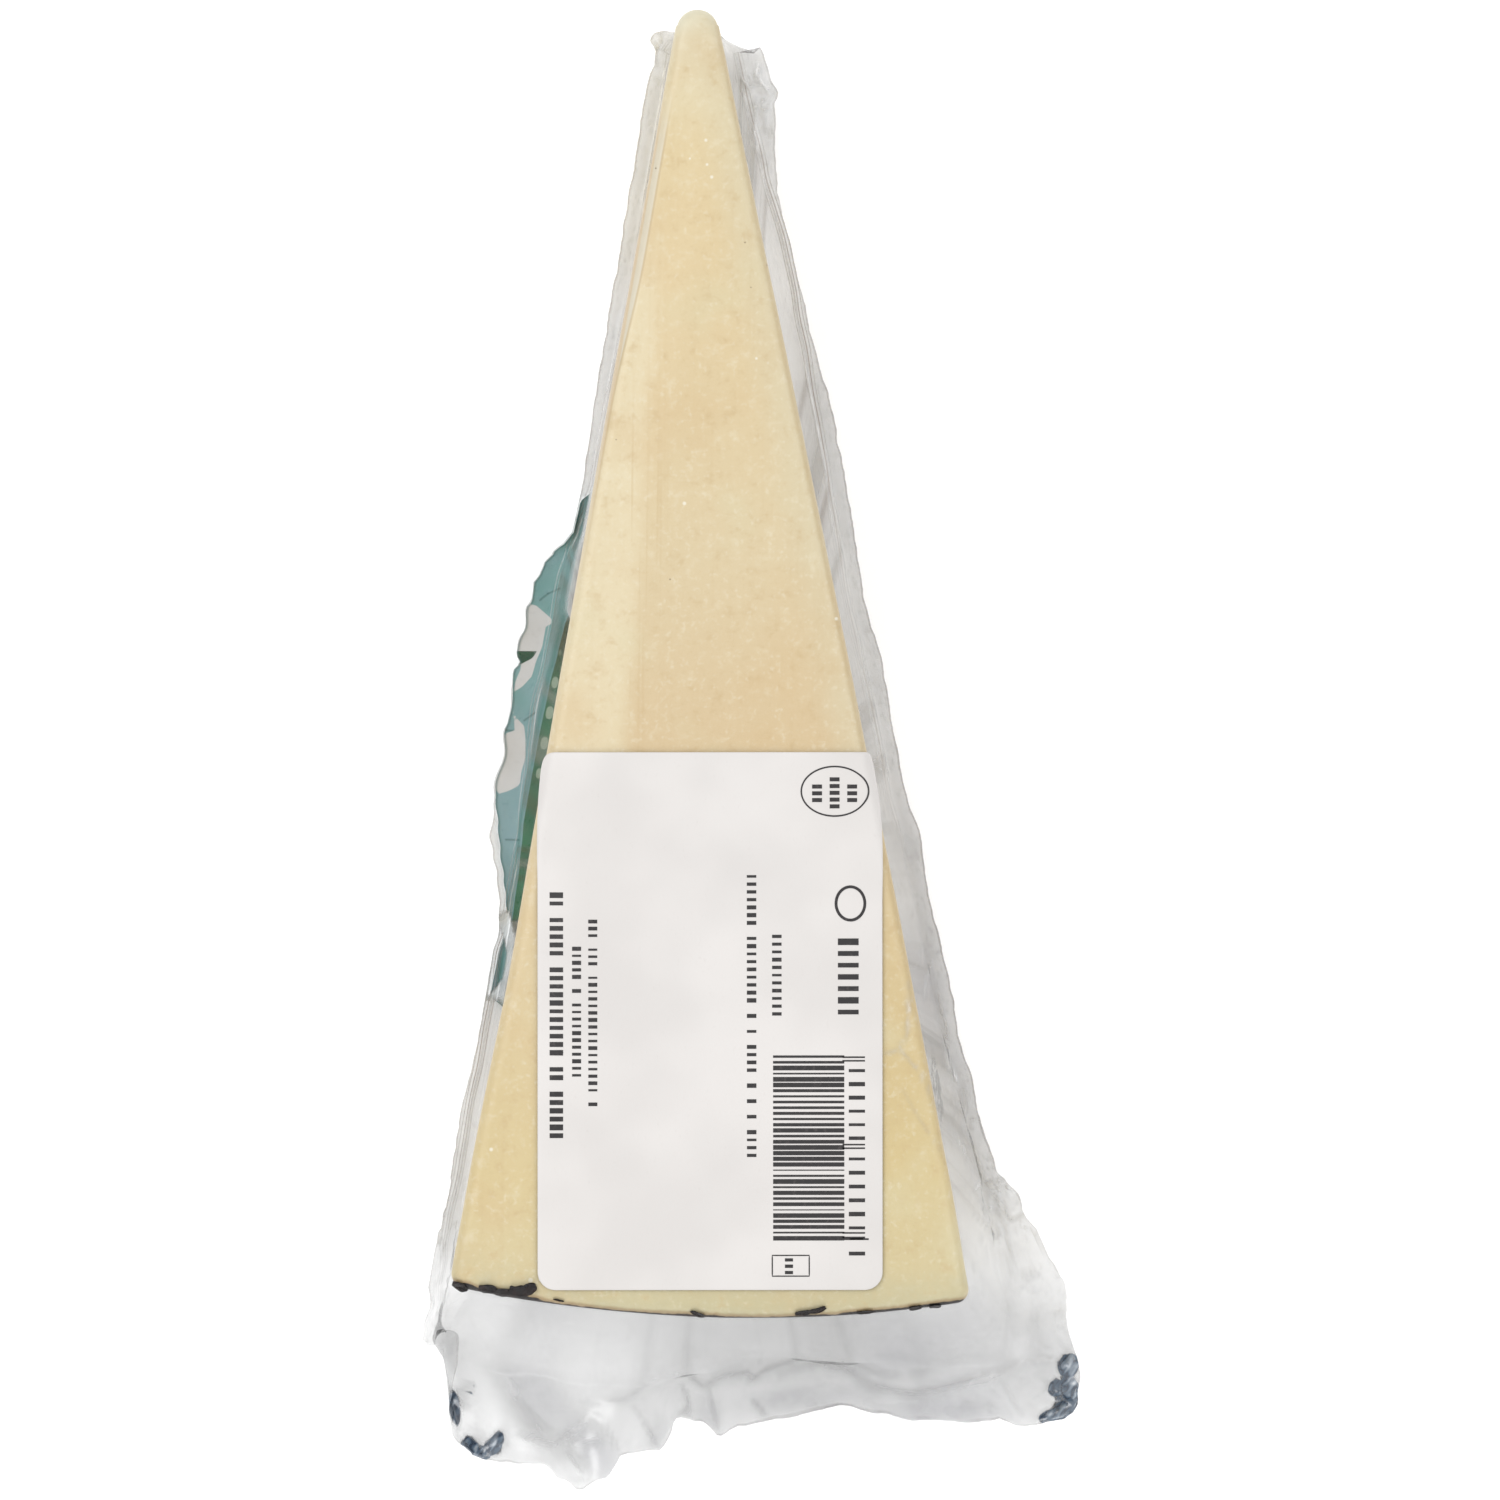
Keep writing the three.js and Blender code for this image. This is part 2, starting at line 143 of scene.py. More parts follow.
def path_distance(points: np.ndarray, path: np.ndarray) -> tuple[np.ndarray, np.ndarray]:
    """How far points in the plane lie from a path.

    Args:
        points: The points.
        path: The path's points.

    Returns:
        The distance, and the share of the path's length at the nearest place.
    """
    steps = np.diff(path, axis=0)
    lengths = np.maximum(np.hypot(*steps.T), 1e-9)
    before = np.concatenate([[0.0], np.cumsum(lengths)[:-1]])
    best, share = np.full(len(points), 1e9), np.zeros(len(points))
    for start, step, length, offset in zip(path, steps, lengths, before):
        away = points - start
        t = np.clip(away @ step / length**2, 0.0, 1.0)
        distance = np.hypot(*(away - t[:, None] * step).T)
        nearer = distance < best
        best = np.where(nearer, distance, best)
        share = np.where(nearer, (offset + t * length) / lengths.sum(), share)
    return best, share


def field_depth(points: np.ndarray, outlines: Sequence[Path]) -> np.ndarray:
    """How deep points in the plane lie inside the deepest of some closed outlines, negative outside.

    Args:
        points: The points.
        outlines: The corners of each outline.

    Returns:
        The depth of each point.
    """
    depths: list[np.ndarray] = []
    for outline in outlines:
        corners = np.array(outline, dtype=float)
        inside = np.zeros(len(points), dtype=bool)
        for (x0, y0), (x1, y1) in zip(corners, np.roll(corners, -1, axis=0)):
            crosses = (y0 > points[:, 1]) != (y1 > points[:, 1])
            at = x0 + (points[:, 1] - y0) * (x1 - x0) / (y1 - y0 if y1 != y0 else 1e-9)
            inside ^= crosses & (points[:, 0] < at)
        distance = path_distance(points, np.vstack([corners, corners[:1]]))[0]
        depths.append(np.where(inside, distance, -distance))
    return np.max(depths, axis=0)


def smoothed(values: np.ndarray, reach: int) -> np.ndarray:
    """Values round a closed line, each averaged with its neighbours.

    Args:
        values: The values.
        reach: How many neighbours on each side count.

    Returns:
        The averages.
    """
    window = np.hanning(2 * reach + 1)
    wrapped = np.concatenate([values[-reach:], values, values[:reach]])
    return np.convolve(wrapped, window / window.sum(), mode="valid")


def soft_noise(points: np.ndarray, size: float, seed: float) -> np.ndarray:
    """Smooth noise from about -1 to 1.

    Args:
        points: Where it is read.
        size: The size of its lumps.
        seed: Which pattern it is.

    Returns:
        The noise at each point.
    """
    places = points.reshape(-1, 3) / size + seed
    return np.array([noise.noise(Vector(place)) for place in places.tolist()]).reshape(points.shape[:-1])


def creases(points: np.ndarray, size: float, seed: float) -> np.ndarray:
    """The sharp ridges and flat facets of crumpled film, from about -1 to 1.

    Args:
        points: Where they are read.
        size: The size of the facets.
        seed: Which pattern it is.

    Returns:
        The height of the creases at each point.
    """
    strays = [soft_noise(points, size * 1.7, seed + 31.0 * k) for k in range(3)]
    bent = points + size * 0.5 * np.stack(strays, axis=-1)
    coarse = 1.0 - 4.0 * np.abs(soft_noise(bent, size, seed))
    fine = 1.0 - 4.0 * np.abs(soft_noise(bent, size * 0.45, seed + 11.3))
    return np.clip(0.7 * coarse + 0.3 * fine, -1.0, 1.0)


# ---------------------------------------------------------------------------------------------------
# Meshes


@dataclass
class MeshData:
    """The points and faces of a mesh."""

    points: np.ndarray
    faces: list[tuple[int, ...]]

    def piece(self, name: str, material: Material, **numbers: np.ndarray) -> Piece:
        """Makes the object, in metres at the origin.

        Args:
            name: The piece's name.
            material: Its finish.
            numbers: Attributes that the finish reads, with one number at each point.

        Returns:
            The new object.
        """
        mesh = bpy.data.meshes.new(name)
        mesh.from_pydata((self.points * MM).tolist(), [], self.faces)
        mesh.update()
        mesh.shade_smooth()
        mesh.materials.append(material)
        for label, values in numbers.items():
            attribute = mesh.attributes.new(label, "FLOAT", "POINT")
            attribute.data.foreach_set("value", np.asarray(values, dtype=np.float32))
        obj = bpy.data.objects.new(name, mesh)
        bpy.context.scene.collection.objects.link(obj)
        LOG.info("%s: %d points", name, len(self.points))
        return obj


def joined(parts: Sequence[MeshData]) -> MeshData:
    """Some meshes as one."""
    shifts = np.cumsum([0] + [len(part.points) for part in parts]).tolist()
    faces = [tuple(i + shift for i in face) for part, shift in zip(parts, shifts) for face in part.faces]
    return MeshData(np.vstack([part.points for part in parts]), faces)


def closed_rings(rings: np.ndarray, top: Sequence[float], bottom: Sequence[float]) -> MeshData:
    """A closed body from rings of points, the first at the top.

    Args:
        rings: Rings by points by 3, each counter-clockwise seen from above.
        top: The pole over the first ring.
        bottom: The pole under the last ring.

    Returns:
        The body, with its faces pointing out.
    """
    layers, count = rings.shape[:2]
    i = np.arange(count)
    after = (i + 1) % count
    faces: list[tuple[int, ...]] = []
    for ring in range(layers - 1):
        a, b = ring * count + i, ring * count + after
        faces += list(map(tuple, np.stack([a, a + count, b + count, b], axis=1).tolist()))
    pole = layers * count
    foot = pole - count
    faces += [(pole, int(a), int(b)) for a, b in zip(i, after)]
    faces += [(pole + 1, int(foot + b), int(foot + a)) for a, b in zip(i, after)]
    return MeshData(np.vstack([rings.reshape(-1, 3), [top], [bottom]]), faces)


def closed_sheet(upper: np.ndarray, lower: np.ndarray) -> MeshData:
    """A closed sheet from two grids of points.

    Args:
        upper: Rows by columns by 3, counter-clockwise seen from above.
        lower: The same for its underside.

    Returns:
        The sheet, with its faces pointing out.
    """
    size = upper.shape[0] * upper.shape[1]
    index = np.arange(size).reshape(upper.shape[:2])
    a, b, c, d = index[:-1, :-1], index[:-1, 1:], index[1:, 1:], index[1:, :-1]
    quads = np.stack([a, b, c, d], axis=-1).reshape(-1, 4)
    under = np.stack([a, d, c, b], axis=-1).reshape(-1, 4) + size
    rim = np.concatenate([index[0, :-1], index[:-1, -1], index[-1, :0:-1], index[:0:-1, 0]])
    after = np.roll(rim, -1)
    sides = np.stack([rim, rim + size, after + size, after], axis=1)
    faces = [tuple(face) for face in np.vstack([quads, under, sides]).tolist()]
    return MeshData(np.vstack([upper.reshape(-1, 3), lower.reshape(-1, 3)]), faces)


def outward(rings: np.ndarray) -> np.ndarray:
    """The outward direction at each point of some rings, as unit vectors."""
    around = np.roll(rings, -1, axis=1) - np.roll(rings, 1, axis=1)
    normal = np.cross(np.gradient(rings, axis=0), around)
    return normal / np.maximum(np.linalg.norm(normal, axis=-1, keepdims=True), 1e-9)


# ---------------------------------------------------------------------------------------------------
# Node trees


def math_node(operation: str, swapped: bool = False) -> Callable[..., Wire]:
    """A wire's operator that adds a Math node.

    Args:
        operation: The node's operation.
        swapped: Whether the wire itself comes last.

    Returns:
        The method.
    """

    def method(wire: Wire, *others: Any) -> Wire:
        """Adds the node."""
        values = (*others, wire) if swapped else (wire, *others)
        return wire.maker.node("ShaderNodeMath", dict(enumerate(values)), operation=operation)

    return method


@dataclass(frozen=True)
class Wire:
    """A node's socket that expressions can be written with."""

    maker: NodeMaker
    socket: bpy.types.NodeSocket

    __add__ = math_node("ADD")
    __radd__ = math_node("ADD", swapped=True)
    __sub__ = math_node("SUBTRACT")
    __rsub__ = math_node("SUBTRACT", swapped=True)
    __mul__ = math_node("MULTIPLY")
    __rmul__ = math_node("MULTIPLY", swapped=True)
    __truediv__ = math_node("DIVIDE")
    __rtruediv__ = math_node("DIVIDE", swapped=True)
    __abs__ = math_node("ABSOLUTE")
    root = math_node("SQRT")
    rounded = math_node("ROUND")
    least = math_node("MINIMUM")
    most = math_node("MAXIMUM")

    def clamped(self) -> Wire:
        """This held between 0 and 1."""
        return self.least(1.0).most(0.0)


@dataclass
class NodeMaker:
    """Adds nodes to a tree, and joins them."""

    tree: bpy.types.NodeTree

    def node(self, kind: str, inputs: Inputs | None = None, output: Any = 0, **settings: Any) -> Wire:
        """Adds any node.

        Args:
            kind: The node's type.
            inputs: The values or wires of its sockets, by name or number.
            output: The socket that the wire starts at.
            settings: The node's own settings, which are set first. Stops are a ramp's colours.

        Returns:
            The wire that leaves the node.
        """
        node = self.tree.nodes.new(kind)
        stops = settings.pop("stops", ())
        for name, value in settings.items():
            setattr(node, name, value)
        if stops:
            elements = node.color_ramp.elements
            elements.remove(elements[-1])
            elements[0].position, elements[0].color = stops[0]
            for position, color in stops[1:]:
                elements.new(position).color = color
        for key, value in (inputs or {}).items():
            if isinstance(value, Wire):
                self.tree.links.new(value.socket, node.inputs[key])
            else:
                node.inputs[key].default_value = value
        return Wire(self, node.outputs[output] if len(node.outputs) else None)


def paint(red: int, green: int, blue: int, gain: float = 1.0 / LIGHT_LEVEL) -> Color:
    """The linear colour of a surface that shows a display colour under the studio's light.

    Args:
        red: From 0 to 255.
        green: From 0 to 255.
        blue: From 0 to 255.
        gain: What the linear colour is multiplied by.

    Returns:
        The linear colour.
    """
    shares = [value / 255.0 for value in (red, green, blue)]
    linear = [s / 12.92 if s <= 0.04045 else ((s + 0.055) / 1.055) ** 2.4 for s in shares]
    return (*(value * gain for value in linear), 1.0)


class Shader(NodeMaker):
    """A material's nodes. Its patterns are in millimetres, on Object coordinates."""

    def __init__(self, name: str) -> None:
        """Starts a new material.

        Args:
            name: The material's name.
        """
        self.material = bpy.data.materials.new(name)
        self.material.use_nodes = True
        self.material.node_tree.nodes.clear()
        super().__init__(self.material.node_tree)
        coordinates = self.node("ShaderNodeTexCoord", output="Object")
        scaled = {0: coordinates, "Scale": 1.0 / MM}
        self.place = self.node("ShaderNodeVectorMath", scaled, operation="SCALE")

    def axes(self) -> list[Wire]:
        """The place's X, Y and Z in millimetres."""
        outputs = self.node("ShaderNodeSeparateXYZ", {0: self.place}).socket.node.outputs
        return [Wire(self, outputs[k]) for k in range(3)]

    def attribute(self, name: str) -> Wire:
        """One of the mesh's own numbers."""
        return self.node("ShaderNodeAttribute", output="Fac", attribute_name=name)

    def stretched(self, scale: Sequence[float], turn: float = 0.0) -> Wire:
        """The place, turned about Z by some degrees and then multiplied by a scale on each axis."""
        turned = self.node("ShaderNodeMapping", {0: self.place, "Rotation": (0.0, 0.0, math.radians(turn))})
        return self.node("ShaderNodeVectorMath", {0: turned, 1: tuple(scale)}, operation="MULTIPLY")

    def noise(
        self, size: float, detail: float, rough: float = 0.5, seed: float = 0.0, at: Wire | None = None
    ) -> Wire:
        """Cloudy noise from 0 to 1.

        Args:
            size: The size of its clouds in millimetres.
            detail: How many finer layers it has.
            rough: How strong these are.
            seed: Which pattern it is.
            at: Where it is read.

        Returns:
            The noise.
        """
        place = at or self.place
        if seed:
            moved = {0: place, 1: (seed, -seed, 0.5 * seed)}
            place = self.node("ShaderNodeVectorMath", moved, operation="ADD")
        inputs = {"Vector": place, "Scale": 1.0 / size, "Detail": detail, "Roughness": rough}
        return self.node("ShaderNodeTexNoise", inputs)

    def rise(self, value: Wire, low: float, high: float, to: tuple[float, float] = (0.0, 1.0)) -> Wire:
        """A smooth rise between two values.

        Args:
            value: What is measured.
            low: Where the rise begins.
            high: Where it ends. It may be less than low.
            to: The values before and after the rise.

        Returns:
            The value of the rise.
        """
        inputs = {"Value": value, "From Min": low, "From Max": high, "To Min": to[0], "To Max": to[1]}
        return self.node("ShaderNodeMapRange", inputs, interpolation_type="SMOOTHSTEP")

    def bell(self, value: Wire, middle: float, width: float) -> Wire:
        """A smooth hump of height 1 round a middle, which ends a width from it."""
        return self.rise(abs(value - middle), width, 0.0)

    def mix(self, first: Any, second: Any, share: Any) -> Wire:
        """The first colour with a share of the second."""
        return self.node("ShaderNodeMix", {0: share, 6: first, 7: second}, output=2, data_type="RGBA")

    def bump(self, height: Wire, distance: float, strength: float) -> Wire:
        """Relief that only the light sees.

        Args:
            height: The relief, from 0 to 1.
            distance: What 1 stands for, in millimetres.
            strength: How much of it is used.

        Returns:
            The normal.
        """
        inputs = {"Height": height, "Distance": distance * MM, "Strength": strength}
        return self.node("ShaderNodeBump", inputs)

    def surface(self, **inputs: Any) -> Material:
        """Ends the nodes with the surface. A socket's name is given with _ for a space.

        Args:
            inputs: The values or wires of the Principled shader's sockets.

        Returns:
            The finished material.
        """
        named = {name.replace("_", " "): value for name, value in inputs.items()}
        self.node("ShaderNodeOutputMaterial", {0: self.node("ShaderNodeBsdfPrincipled", named)})
        return self.material


# ---------------------------------------------------------------------------------------------------
# Sizes of the wedge and of the pack's outline


@dataclass(frozen=True)
class WedgeShape:
    """The wedge, cut from a slice of a round wheel of cheese.

    A bevel is its depth and its width. The cut's small stray at the rind and the flare on the left each
    have a size and the places between which they grow.
    """

    wheel_radius: float = 156.0
    half_angle: float = math.radians(10.65)
    tip_round: float = 2.5
    corner_round: float = 1.8
    edge_round: float = 1.6
    side_bulge: float = 0.5
    underside: float = 0.62
    back: float = 40.9
    left_bevel: tuple[float, float] = (0.7, 8.0)
    right_bevel: tuple[float, float] = (0.3, 6.0)
    tip_bevel: tuple[float, float] = (1.3, 9.0)
    bevel_full_at: float = 30.0
    tip_reach: tuple[float, float] = (0.75, 24.0)
    rind_askew: tuple[float, float] = (0.042, 0.2)
    askew_within: tuple[float, float] = (12.0, 1.5)
    left_flare: float = 0.8
    flare_along: tuple[float, float] = (104.0, 134.0)
    flare_across: tuple[float, float] = (-8.0, -26.0)

    @property
    def tip_distance(self) -> float:
        """From the wheel's middle to the thin end."""
        return self.tip_round / math.sin(self.half_angle) - self.tip_round

    @property
    def side_length(self) -> float:
        """From the thin end to the rind."""
        return self.wheel_radius - self.tip_distance

    @property
    def apex_y(self) -> float:
        """The wheel's middle."""
        return (self.wheel_radius + self.tip_distance) / 2.0

    @property
    def tip_y(self) -> float:
        """The thin end."""
        return self.apex_y - self.tip_distance

    def squared(self, x: Any, y: Any) -> Any:
        """Where a place near the rind would lie on Y, if the wedge were cut square."""
        return y + x * self.rind_askew[0] + self.rind_askew[1]

    def from_apex(self, x: Any, y: Any) -> Any:
        """How far places lie from the wheel's middle, if the wedge were cut square."""
        return np.hypot(x, self.apex_y - self.squared(x, y))

    def bulge(self, radius: Any) -> Any:
        """How far a side bulges out, at a distance from the wheel's middle."""
        return self.side_bulge * np.sin(np.pi * np.asarray(radius) / self.wheel_radius)

    def back_drop(self, x: Any, y: Any) -> Any:
        """How far the back lies under its flat plane.

        Args:
            x: Places on X.
            y: Places on Y.

        Returns:
            The drop at each place.
        """
        half = (self.apex_y - y) * math.tan(self.half_angle)

        def drop(bevel: tuple[float, float], distance: Any) -> Any:
            """One bevel's share."""
            return bevel[0] * (1.0 - smoothstep(distance, 0.0, bevel[1]))

        sides = drop(self.left_bevel, half + x) + drop(self.right_bevel, half - x)
        from_tip = self.tip_y - y
        return sides * smoothstep(from_tip, 0.0, self.bevel_full_at) + drop(self.tip_bevel, from_tip)


@dataclass(frozen=True)
class SideTables:
    """How far the film reaches out on one side, by the distance from the thin end."""

    skirt: Keys
    seam: Keys
    weld: Keys
    tip_corner: Path
    rind_corner: Path


@dataclass(frozen=True)
class LiftTable:
    """The skirt's height at its rim, as a smooth and a rippled part, on each stretch of the outline."""

    tip: tuple[float, float] = (0.6, 1.6)
    corner: tuple[float, float] = (1.2, 3.0)
    side: tuple[float, float] = (0.3, 0.9)
    labelled: tuple[float, float] = (0.2, 0.5)
    rind: tuple[float, float] = (0.4, 1.4)
    labelled_from: tuple[float, float] = (54.0, 62.0)
    labelled_to: tuple[float, float] = (96.0, 104.0)
    side_end: float = 1.2
    side_end_from: float = 118.0
    smoothing: int = 7
    per_draw: float = 0.7
    power: float = 1.6
    ripples: Keys = ((14.5, 0.3), (6.9, 0.2))


@dataclass(frozen=True)
class Steps:
    """How finely half of the outline is divided."""

    tip: int = 22
    side: int = 285
    corner: int = 62
    rind: int = 66


LEFT_TABLES = SideTables(
    skirt=(
        (1, 3.3), (4, 2.8), (8, 3), (38, 2.9), (47, 2.7), (52, 2.5), (58, 2.7), (59.1, 3.3), (60.9, 4.6),
        (62.2, 5.4), (63.8, 5.7), (64.4, 6.2), (66.6, 6.1), (67.7, 6.6), (69.8, 6.3), (71.8, 6.8),
        (73.1, 6.8), (74.1, 6.2), (75.1, 6.8), (77.1, 6.6), (79.4, 6.3), (81.1, 6.4), (82.2, 6.7),
        (85, 6.1), (88.3, 6.7), (90.2, 6.4), (92.4, 6.1), (94.3, 6.2), (96.6, 5.4), (98.8, 4.5),
        (102.4, 3.6), (105.6, 3.2), (107.8, 3.4), (113, 3.4), (118, 3.4), (127, 3.9), (137, 3.7),
        (142, 4.2), (145, 4.1),
    ),
    seam=((0, 0.9), (52, 1.1), (57, 1.4), (63, 2.7), (92, 2.6), (101, 1.6), (145, 1.9)),
    weld=(
        (0, 0.8), (13, 0.5), (25, 0.4), (34, 0.6), (43, 1), (52, 1.1), (54, 1.3), (58, 2.1), (60, 2.5),
        (63.6, 2.9), (73, 2.9), (79, 3.3), (83, 3.2), (87, 2.9), (90, 2.7), (94, 2.5), (99, 2.45),
        (105, 2.4), (108, 2.7), (118, 2.6), (130, 2.9), (145, 3),
    ),
    tip_corner=((3.3, -1), (3.6, -0.2), (3.1, 0.6), (1.9, 0.9), (0.8, 0.6), (0, 0.8)),
    rind_corner=(
        (4.1, 1.4), (3.6, 4.9), (4.3, 7.3), (4.2, 8.7), (3, 9.4), (1.7, 8.9), (1, 7.5), (-0.2, 7.2),
        (-0.6, 9.4), (-0.5, 12.4), (-0.3, 15), (-1.4, 17.6), (-1.8, 18.6), (-3, 19.8), (-4.6, 20.9),
    ),
)
RIGHT_TABLES = SideTables(
    skirt=(
        (1, 4.1), (3, 4.9), (6, 5.2), (7.5, 5.7), (9, 5), (15, 4), (19, 3.5), (29, 3.9), (48, 4.7),
        (57, 4.5), (67, 4), (74, 4.6), (86, 4.2), (91, 4.4), (95, 5.1), (100, 4.6), (110, 4.9), (114, 5),
        (119, 4.7), (124, 5.4), (129, 5.2), (134, 6), (139, 8.2), (145, 9.9),
    ),
    seam=((0, 1.4), (30, 2), (112, 2.5), (145, 4.2)),
    weld=(
        (0, 1.6), (9.5, 1.8), (15.6, 2.2), (25, 3), (34.6, 2.9), (47, 2.6), (56, 2.2), (64, 1.8),
        (72, 1.9), (80, 2.1), (89, 2), (96, 2.3), (103.4, 3), (109, 3.2), (114, 3.4), (120, 3.4),
        (124.8, 3.9), (145, 5.5),
    ),
    tip_corner=((4.1, -2), (3.4, -1.5), (2.2, -1.1), (1, -0.4), (0.4, 0.4), (0, 0.8)),
    rind_corner=(
        (10, 0.8), (11.4, 4.4), (10.8, 8.4), (10.9, 13.1), (10.3, 16.6), (9.3, 18.7), (7.5, 19.6),
        (5, 19.5), (2.5, 19.2), (0.7, 17.8),
    ),
)
# how far the skirt and its seam reach out past the rind, by the place on X
RIND_SKIRT: Keys = (
    (-27, 18.8), (-24, 20.9), (-18, 20.7), (-16, 22.2), (-14, 23.2), (-12, 21.8), (-10, 18.6), (-6, 17.9),
    (-3.9, 14.3), (-1.8, 14.3), (0.3, 16.1), (2.4, 14.8), (7, 14.1), (13, 13.1), (17, 14.4), (21, 15.8),
    (29, 17.6),
)
RIND_SEAM: Keys = ((-29, 11), (-20, 12), (-9, 11.2), (-2, 9.2), (5, 7), (16, 8.2), (29, 10.5))


@dataclass
class Outline:
    """The pack's outline as stations, counter-clockwise from above: down the left side and up the right."""

    shape: WedgeShape
    lifts: LiftTable = field(default_factory=LiftTable)
    steps: Steps = field(default_factory=Steps)
    tip_seam: float = 0.5
    tip_weld: float = 0.1
    tip_fan: tuple[float, float] = (0.3, 0.08)
    corner_weld: float = 0.9
    label_from: tuple[float, float] = (49.0, 51.0)
    label_to: tuple[float, float] = (126.0, 128.0)
    wedge: np.ndarray = field(init=False)
    seam: np.ndarray = field(init=False)
    rim: np.ndarray = field(init=False)
    normal: np.ndarray = field(init=False)
    zone: np.ndarray = field(init=False)
    along: np.ndarray = field(init=False)
    weld: np.ndarray = field(init=False)
    drawn: np.ndarray = field(init=False)
    lift: np.ndarray = field(init=False)

    def __post_init__(self) -> None:
        """Works out every station."""
        shape = self.shape
        left, right = self._half(-1), self._half(1)
        for name, values in left.items():
            setattr(self, name, np.concatenate([values, right[name][1:-1][::-1]]))
        reach, length = shape.tip_reach
        for points in (self.wedge, self.seam, self.rim):
            points[:, 1] += reach * smoothstep(points[:, 1], shape.tip_y - length, shape.tip_y)
        away = np.hypot(self.wedge[:, 0], shape.apex_y - self.wedge[:, 1])
        near_rind = smoothstep(away, *(shape.wheel_radius - within for within in shape.askew_within))
        flared = smoothstep(self.along, *shape.flare_along)
        flared = flared * smoothstep(self.wedge[:, 0], *shape.flare_across)
        self.wedge[:, 0] -= shape.left_flare * flared
        for points in (self.wedge, self.seam):
            points[:, 1] -= (shape.squared(*points.T) - points[:, 1]) * near_rind
        self.lift = self._rim_lift()

    def _half(self, sign: int) -> dict[str, np.ndarray]:
        """One half of the outline, from the thin end to the middle of the rind.

        Args:
            sign: -1 for the left side and 1 for the right.

        Returns:
            The stations' values by name.
        """
        shape, tables = self.shape, RIGHT_TABLES if sign > 0 else LEFT_TABLES
        angle, radius, length = shape.half_angle, shape.wheel_radius, shape.side_length
        apex = np.array([0.0, shape.apex_y])
        side_normal = np.array([sign * math.cos(angle), math.sin(angle)])
        rows: list[tuple[Any, ...]] = []

        def from_middle(turn: float) -> np.ndarray:
            """The direction away from the wheel's middle."""
            return np.array([sign * math.sin(turn), -math.cos(turn)])

        middle = np.array([0.0, shape.tip_y - shape.tip_round])
        shares = np.arange(self.steps.tip) / self.steps.tip
        for share, (out, past) in zip(shares, along_path(tables.tip_corner, 1.0 - shares)):
            turn = math.pi / 2 + (angle - math.pi / 2) * share
            normal = np.array([sign * math.cos(turn), math.sin(turn)])
            half = (shape.apex_y - shape.tip_y - min(past, 0.0)) * math.tan(angle)
            fan = [smoothstep(share, 0.0, end) for end in self.tip_fan]
            rim_x = half * fan[0] + out * fan[1]
            gap = self.tip_seam + (tables.seam[0][1] - self.tip_seam) * share
            wedge = middle + normal * shape.tip_round
            rim = np.array([sign * rim_x, shape.tip_y + past])
            rows.append((wedge, wedge + normal * gap, rim, normal, Zone.TIP, 0.0, gap + self.tip_weld, 0.0))

        start, end = shape.tip_round / math.tan(angle), radius - shape.corner_round
        for away in np.linspace(start, end, self.steps.side, endpoint=False):
            along = away - shape.tip_distance
            line, bulge = apex + from_middle(angle) * away, shape.bulge(away)
            seam, reach = bulge + profile(tables.seam, along), profile(tables.skirt, along)
            places = [line + side_normal * out for out in (bulge, seam, reach)]
            rows.append((*places, side_normal, Zone.SIDE, along, profile(tables.weld, along) - seam, 0.0))

        end_normal = from_middle(angle)
        corner = apex + end_normal * radius
        rounding = corner - (side_normal + end_normal) * shape.corner_round
        half_width = radius * math.sin(angle)
        side_seam, rind_seam = profile(tables.seam, length), profile(RIND_SEAM, sign * half_width)
        shares = np.arange(self.steps.corner) / self.steps.corner
        for share, (out, past) in zip(shares, along_path(tables.rind_corner, shares)):
            across, down = math.cos(share * math.pi / 2), math.sin(share * math.pi / 2)
            normal = side_normal * across + end_normal * down
            seam = side_normal * side_seam * math.sqrt(across) + end_normal * rind_seam * math.sqrt(down)
            rim = side_normal * out + end_normal * past
            places = [rounding + normal * shape.corner_round, corner + seam, corner + rim]
            rows.append((*places, normal, Zone.CORNER, length, self.corner_weld * (1 - share), 0.0))

        rind_angle = angle - shape.corner_round / radius
        rim_angle = (half_width + tables.rind_corner[-1][0]) / radius
        widest = max(reach for _, reach in RIND_SKIRT)
        for share in np.linspace(1.0, 0.0, self.steps.rind + 1):
            normal, rim_normal = from_middle(rind_angle * share), from_middle(rim_angle * share)
            seam, reach = profile(RIND_SEAM, radius * normal[0]), profile(RIND_SKIRT, radius * rim_normal[0])
            places = [apex + normal * out for out in (radius, radius + seam)]
            rim = apex + rim_normal * (radius + reach)
            rows.append((*places, rim, normal, Zone.RIND, length, 0.0, widest - reach))
        names = ("wedge", "seam", "rim", "normal", "zone", "along", "weld", "drawn")
        return {name: np.array([row[k] for row in rows], dtype=float) for k, name in enumerate(names)}

    def _rim_lift(self) -> np.ndarray:
        """How high the skirt stands at its rim.

        Returns:
            The height at each station.
        """
        lifts, zone, along = self.lifts, self.zone, self.along
        run = np.concatenate([[0.0], np.cumsum(np.hypot(*np.diff(self.rim, axis=0).T))])
        ripple = 0.5 + sum(share * np.sin(2 * np.pi * run / length) for length, share in lifts.ripples)

        def lift(parts: tuple[float, float]) -> np.ndarray:
            """The height from its two parts."""
            return parts[0] + parts[1] * ripple

